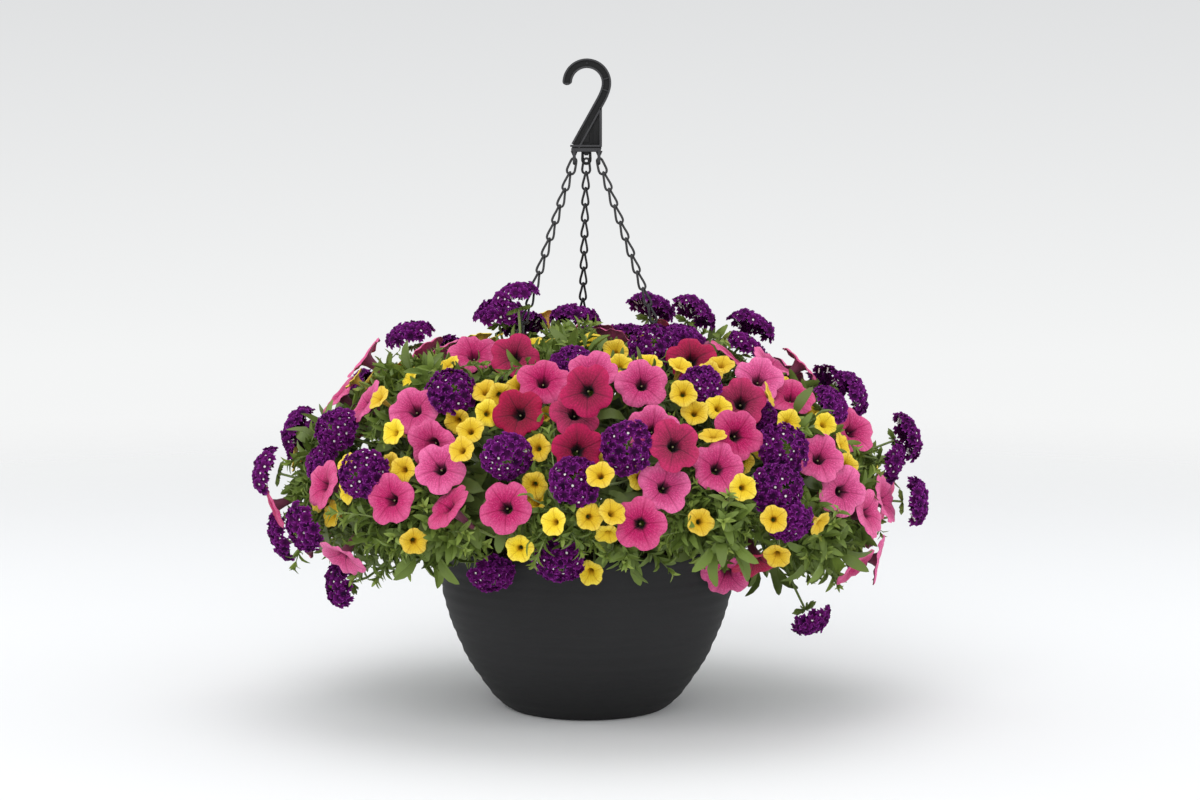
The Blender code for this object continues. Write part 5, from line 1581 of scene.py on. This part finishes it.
def make_soil():
    """The soil, level and crumbly, a little higher in the middle."""
    side = [(0.0745, 0.0045), (0.0835, 0.0105), (0.1122, 0.0425), (0.1342, 0.0905), (0.1455, 0.1445)]
    crown = []
    for k in range(1, CROWN_STEPS + 1):
        radius = CROWN_RADIUS - CROWN_RADIUS * k / CROWN_STEPS if k < CROWN_STEPS else 0.001
        crown.append((radius, CROWN_FOOT + CROWN_RISE * (k / CROWN_STEPS) ** 0.5))
    soil = spun([*side, *crown], 96)

    def crumbled(place):
        """Lifts and lowers the top of the soil a little."""
        if place.z > CRUMB_HEIGHT:
            grain = math.sin(place.x * 410 + 3 * math.sin(place.y * 190))
            grain *= math.sin(place.y * 370 + 2 * place.x * 150)
            place = place + Vector((0, 0, CRUMB_DEPTH * grain))
        return place

    shaped(soil, crumbled)
    soil.data.materials.append(FINISHES["soil"])
    soil.data.shade_smooth()
    return settled(soil, "soil_bed", "soil")


make_pot()
make_soil()
print("the pot and its soil are turned")

# %% [markdown]
# ## The chains
#
# One link is modelled: a loop of round wire, narrow at its top and widest near its foot. Its top is twisted
# a quarter turn, so that it hooks round the foot of the link above and all links show the same face. It is
# copied down each chain and stretched to fit between the hook's eyelet and the pot's eye, with a rounder
# first link and a long clip at the end. Wire is a ring of corners carried along a path, which no primitive
# gives.

# %% Chains
LINK_PITCH, END_LINK, CLIP_LENGTH = 0.0185, 0.0145, 0.0520
LINK_WIRE = 0.00122
TWIST_SHARE = 0.55
TURN_OVER = 6
LINK_SHAPE = (
    (0.0004, 0.0010), (0.0013, 0.0004), (0.0016, -0.0014), (0.0017, -0.0040), (0.0020, -0.0070),
    (0.0025, -0.0100), (0.0030, -0.0130), (0.0032, -0.0154), (0.0029, -0.0176), (0.0018, -0.0190),
    (0.0004, -0.0195),
)
END_SHAPE = (
    (0.0004, 0.0010), (0.0020, 0.0002), (0.0028, -0.0020), (0.0036, -0.0080), (0.0040, -0.0115),
    (0.0034, -0.0140), (0.0020, -0.0152), (0.0004, -0.0156),
)
CLIP_SHAPE = (
    (0.0006, 0.0009), (0.0030, -0.0006), (0.0046, -0.0046), (0.0046, -0.0474), (0.0030, -0.0514),
    (0.0006, -0.0529),
)


def wire_finish():
    """Dark coated wire, a little worn."""
    material, tree, shader = finish_of("chain_wire", colour(24, 24, 25), roughness=0.5, metallic=0.0)
    where = put(tree, "ShaderNodeTexCoord").outputs["Object"]
    worn = noise(tree, where, 900.0, 3.0)
    shade = mixed(tree, worn, colour(16, 16, 17), colour(38, 38, 40))
    give(tree, shader, base_color=shade, normal=bumped(tree, worn, 0.00015, 0.5))
    return material


FINISHES["chain_wire"] = wire_finish()


def link_path(shape, steps, twist):
    """A loop through (half width, height) stations, down one side and up the other, twisted at its top."""
    widths, heights = [point[0] for point in shape], [point[1] for point in shape]
    stops = np.linspace(0, 1, len(shape))
    down = [k / steps for k in range(steps + 1)]
    side = [(float(np.interp(t, stops, widths)), float(np.interp(t, stops, heights))) for t in down]
    turns = [twist * max(0.0, 1 - t / TWIST_SHARE) for t in down]
    path = [
        Vector((wide * math.cos(a), wide * math.sin(a), height)) for (wide, height), a in zip(side, turns)
    ]
    back = [Vector((-point.x, -point.y, point.z)) for point in reversed(path[1:-1])]
    return path + back


def wire_ring(name, path, wire, sides, across, finish):
    """A closed ring of round wire along a path. across is a direction square to most of the path."""
    corners, faces = [], []
    for i, point in enumerate(path):
        along = (path[(i + 1) % len(path)] - path[i - 1]).normalized()
        across = (across - along * across.dot(along)).normalized()
        other = along.cross(across)
        for k in range(sides):
            turn = math.tau * k / sides
            corners.append(point + (across * math.cos(turn) + other * math.sin(turn)) * wire)
    for i in range(len(path)):
        j = (i + 1) % len(path)
        for k in range(sides):
            m = (k + 1) % sides
            faces.append((i * sides + k, i * sides + m, j * sides + m, j * sides + k))
    mesh = bpy.data.meshes.new(name)
    mesh.from_pydata([list(corner) for corner in corners], [], faces)
    mesh.materials.append(FINISHES[finish])
    piece = bpy.data.objects.new(name, mesh)
    bpy.context.collection.objects.link(piece)
    return piece


for name, shape, steps, twist in (
    ("link", LINK_SHAPE, 14, math.pi / 2), ("end_link", END_SHAPE, 12, 0.0), ("clip", CLIP_SHAPE, 14, 0.0)
):
    path = link_path(shape, steps, twist)
    keep_model(name, wire_ring(name, path, LINK_WIRE, 8, Vector((0, 1, 0)), "chain_wire"))


def make_chain(i):
    """One chain, from its eyelet to its eye. Its last links turn, so that the clip fits its eye."""
    top, low = chain_ends(i)
    down = (low - top).normalized()
    length = (low - top).length
    count = round((length - END_LINK - CLIP_LENGTH) / LINK_PITCH)
    count += 1 - count % 2
    pitch = (length - END_LINK - CLIP_LENGTH) / count
    stops = [0.0] + [END_LINK + pitch * k for k in range(count + 1)] + [length]
    first = Vector((0, 1, 0))
    first = (first - down * first.dot(down)).normalized()
    turn = CHAIN_TURNS[i]
    last = Vector((math.sin(turn), math.cos(turn), 0)).cross(Vector((0, 0, 1)))
    last = (last - down * last.dot(down)).normalized()
    twist = math.atan2(down.dot(first.cross(last)), first.dot(last))
    twist -= math.pi * round(twist / math.pi)
    links = len(stops) - 1
    growth = Growth()
    for k in range(links):
        share = max(0.0, (k - links + TURN_OVER) / (TURN_OVER - 1))
        across = Matrix.Rotation(share * twist, 3, down) @ first
        model = "end_link" if k == 0 else "clip" if k == links - 1 else "link"
        stretch = pitch / LINK_PITCH if model == "link" else 1.0
        growth.add(model, frame_at(top + down * stops[k], -down, across, (1, 1, stretch)), 0.5)
    part = growth.part()
    part["points"] = np.clip(part["points"], cad_box[0], cad_box[1])
    piece = written(f"linked_chain_{i + 1}", part)
    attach(piece, "root")
    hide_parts(f"chain_{i + 1}")


for i in range(3):
    make_chain(i)
print("three chains hang from the hook")

# %% [markdown]
# ## The hook
#
# The hook is one moulding. Its band has a raised edge along both faces: a ring of twenty corners, the outline
# of its section, is extruded step by step and each step is laid along the arch and the slanting leg by a
# formula, which keeps the edge even where transform operators would drift. The panel, its small raised
# triangle and the rib start as cubes that are shaped and bevelled, and the foot is extruded from a cube.

# %% The hook
ARCH_RADIUS, BAND_HALF, BAND_DEEP = 0.01945, 0.00472, 0.00448
CHANNEL_EDGE, CHANNEL_FLOOR, STEP_FLOOR, ROUND_OFF = 0.0019, 0.0021, 0.0034, 0.0004
ARCH_FROM, ARCH_TO = math.radians(186), math.radians(-12)
BEND, LEG_FROM, LEG_TO = (0.01774, -0.02476), (0.01384, -0.03174), (-0.0112, -0.0765)
TIP_ROUND = 0.0036
CROSS_STEPS = (0.0580, 0.0695)
STEP_LENGTH = 0.0014
BAND_STOPS, FIRST_STOP, STOP_GAP = (0.0, 0.0003, 0.0008, 0.0015, 0.0022, 0.0027), 0.0036, 0.0018
TIP_CAP = 0.0025
PLATE_TO = (0.0166, -0.0268)
PLATE_HALF, PLATE_RIGHT, PLATE_FOOT, PLATE_TOP = 0.0018, 0.0144, -0.0800, -0.0400
RIB = ((0.0124, -BAND_DEEP, -0.0770), (0.0150, BAND_DEEP, -0.0385))
FAINT_RIB = ((0.0052, -0.0026, -0.0770), (0.0062, 0.0026, -0.0560))
TRIANGLE = ((-0.0084, -0.0027, -0.0730), (0.0026, 0.0027, -0.0564))
TRIANGLE_PEAK = 0.0004
EJECTOR_MARKS = ((-0.0188, -0.0150), (0.0, 0.0047))
FOOT = ((-0.0165, -0.0045, -0.0775), (0.0150, 0.0045, -0.0755))
FOOT_STEPS = (
    (0.90, 0.62, 0.0), (1.0, 1.0, -0.0012), (1.04, 1.5, 0.0), (1.0, 1.0, -0.0034), (0.99, 0.9, -0.0004),
)
ROOT_HALF, ROOT_DEEP, ROOT_LOW, ROOT_TOP = 0.0036, 0.0024, -0.0860, -0.0815


def band_line():
    """The middle line of the hook's band: the arch, a soft bend and the slanting leg."""
    centre = BAND_HALF - ARCH_RADIUS
    turns = np.linspace(ARCH_FROM, ARCH_TO, 37)
    arch = [Vector((ARCH_RADIUS * math.cos(a), 0, ARCH_RADIUS * math.sin(a) + centre)) for a in turns]
    bend, start, end = (Vector((x, 0, z)) for x, z in (BEND, LEG_FROM, LEG_TO))
    return arch + bezier(arch[-1], bend, start, 6)[1:] + [end]


def band_section(floor):
    """The twenty corners of the band's section, as (across, deep), anticlockwise."""
    half, edge, deep, off = BAND_HALF, BAND_HALF - CHANNEL_EDGE, BAND_DEEP, ROUND_OFF
    quarter = [(half, deep - off), (half - off, deep), (edge + off, deep), (edge, deep - off), (edge, floor)]
    mirrored = [(-x, y) for x, y in reversed(quarter)]
    upper = quarter + mirrored
    return upper + [(-x, -y) for x, y in upper]


def make_band():
    """The band, from its round tip to the foot of its leg."""
    line = band_line()
    reach = np.concatenate([[0], np.cumsum([(b - a).length for a, b in zip(line, line[1:])])])
    stops = [*BAND_STOPS] + [FIRST_STOP + STOP_GAP * k for k in range(71)]
    for start in CROSS_STEPS:
        stops += [start - 0.0004, start, start + STEP_LENGTH, start + STEP_LENGTH + 0.0004]
    stops = sorted(stop for stop in stops if stop < reach[-1])
    stops = [a for a, b in zip(stops, stops[1:]) if b - a > 0.0002] + [float(reach[-1])]
    band = opened(20)
    bpy.ops.mesh.edge_face_add()
    bpy.ops.mesh.select_mode(type="EDGE")
    for _ in stops[1:]:
        extruded(1.0, 1, 1, (0, 0, 0))
    bpy.ops.mesh.edge_face_add()
    bpy.ops.mesh.select_mode(type="VERT")
    bpy.ops.object.mode_set(mode="OBJECT")

    def at(stop):
        """The place that lies this far along the middle line."""
        return Vector([float(np.interp(stop, reach, [point[i] for point in line])) for i in range(3)])

    def laid(place):
        """Sends a corner of the straight band to its place on the bent one."""
        stop = stops[round(place.z)]
        along = (at(stop + 0.0002) - at(stop - 0.0002)).normalized()
        out = Vector((-along.z, 0, along.x))
        in_step = any(start - 1e-6 <= stop <= start + STEP_LENGTH + 1e-6 for start in CROSS_STEPS)
        floor = BAND_DEEP - ROUND_OFF * 1.5 if stop < TIP_CAP else STEP_FLOOR if in_step else CHANNEL_FLOOR
        corner = round((math.atan2(place.y, place.x) % math.tau) / (math.tau / 20)) % 20
        across, deep = band_section(floor)[corner]
        rounded = math.sqrt(max(0.03, 1 - (1 - min(1.0, stop / TIP_ROUND)) ** 2))
        return at(stop) + out * across * rounded + Vector((0, deep, 0))

    shaped(band, laid)
    bpy.ops.object.mode_set(mode="EDIT")
    bpy.ops.mesh.select_all(action="SELECT")
    bpy.ops.mesh.normals_make_consistent(inside=False)
    bpy.ops.object.mode_set(mode="OBJECT")
    return band


def box(low, high):
    """A cube stretched between two corners."""
    bpy.ops.mesh.primitive_cube_add(size=1, location=(0, 0, 0))
    piece = bpy.context.object
    low, high = Vector(low), Vector(high)
    shaped(piece, lambda place: Vector([low[i] + (place[i] + 0.5) * (high[i] - low[i]) for i in range(3)]))
    return piece


def block(low, high, rule=None, bevel=0.0004):
    """A box shaped by a rule and finished with a small bevel."""
    piece = box(low, high)
    if rule:
        shaped(piece, rule)
    rounding = piece.modifiers.new("edges", "BEVEL")
    rounding.width, rounding.segments = bevel, 2
    bpy.ops.object.modifier_apply(modifier=rounding.name)
    return piece


def make_foot():
    """The foot: a ledge, a groove under it and the block that the eyelets hang from."""
    foot = box(*FOOT)
    centre = (-0.00075, 0, FOOT[0][2])
    bpy.ops.object.mode_set(mode="EDIT")
    chosen(foot, lambda place: place.z < -0.077)
    for wide, deep, down in FOOT_STEPS:
        bpy.ops.mesh.extrude_region_move(TRANSFORM_OT_translate={"value": (0, 0, down)})
        bpy.ops.transform.resize(value=(wide, deep, 1), center_override=centre)
    bpy.ops.object.mode_set(mode="OBJECT")
    rounding = foot.modifiers.new("edges", "BEVEL")
    rounding.width, rounding.segments, rounding.limit_method = 0.0003, 2, "ANGLE"
    bpy.ops.object.modifier_apply(modifier=rounding.name)
    return foot


EYELET_WIRE, EYELET_HALF, EYELET_TOP, EYELET_LOW = 0.00155, 0.00375, -0.0810, -0.0940


def eyelet(x, wide):
    """One eyelet: a loop whose closed top is sunk in the foot."""
    path = [Vector((x, 0, EYELET_TOP)) + wide * EYELET_HALF]
    for k in range(13):
        turn = math.pi * k / 12
        swing = wide * (EYELET_HALF * math.cos(turn))
        sag = Vector((0, 0, EYELET_HALF * math.sin(turn)))
        path.append(Vector((x, 0, EYELET_LOW + EYELET_HALF)) + swing - sag)
    path.append(Vector((x, 0, EYELET_TOP)) - wide * EYELET_HALF)
    return wire_ring("eyelet", path, EYELET_WIRE, 8, wide.cross(Vector((0, 0, 1))), "hook_plastic")


def make_hook():
    """The whole hook as one piece."""
    slope = (PLATE_TO[0] - LEG_TO[0]) / (PLATE_TO[1] - LEG_TO[1])

    def narrowed(place):
        """Draws a block's left side onto the slanting leg."""
        left = LEG_TO[0] + slope * (place.z - LEG_TO[1])
        return Vector((left, place.y, place.z)) if place.x < 0 else place

    def triangle(place):
        """Draws a block's upper left corner over to make a raised triangle."""
        above = place.z > (TRIANGLE[0][2] + TRIANGLE[1][2]) / 2
        return Vector((TRIANGLE_PEAK, place.y, place.z)) if place.x < 0 and above else place

    plate = ((-0.01, -PLATE_HALF, PLATE_FOOT), (PLATE_RIGHT, PLATE_HALF, PLATE_TOP))
    parts = [make_band(), make_foot(), block(*plate, narrowed, 0.0003), block(*RIB)]
    parts += [block(*FAINT_RIB, None, 0.0003), block(*TRIANGLE, triangle, 0.0005)]
    for x, z in EJECTOR_MARKS:
        bpy.ops.mesh.primitive_cylinder_add(
            vertices=16, radius=0.0011, depth=0.0062, location=(x, 0, z), rotation=(math.pi / 2, 0, 0)
        )
        parts.append(bpy.context.object)
    for x in EYELET_ACROSS:
        def flared(place, x=x):
            """Draws a root in to half its width at its lower end."""
            low = place.z < (ROOT_LOW + ROOT_TOP) / 2
            return Vector((x + (place.x - x) * (0.5 if low else 1.0), place.y, place.z))

        root = ((x - ROOT_HALF, -ROOT_DEEP, ROOT_LOW), (x + ROOT_HALF, ROOT_DEEP, ROOT_TOP))
        parts.append(block(*root, flared))
    for i, x in enumerate(EYELET_ACROSS):
        parts.append(eyelet(x, Vector((1, 0, 0)) if i == 1 else Vector((0, 1, 0))))
    bpy.ops.object.select_all(action="DESELECT")
    for part in parts:
        part.select_set(True)
    bpy.context.view_layer.objects.active = parts[0]
    bpy.ops.object.join()
    hook = parts[0]
    hook.data.materials.clear()
    hook.data.materials.append(FINISHES["hook_plastic"])
    for face in hook.data.polygons:
        face.material_index = 0
    bpy.ops.object.shade_smooth_by_angle(angle=math.radians(35))
    return settled(hook, "hook_body", "hook")


make_hook()
print("the hook is one piece")
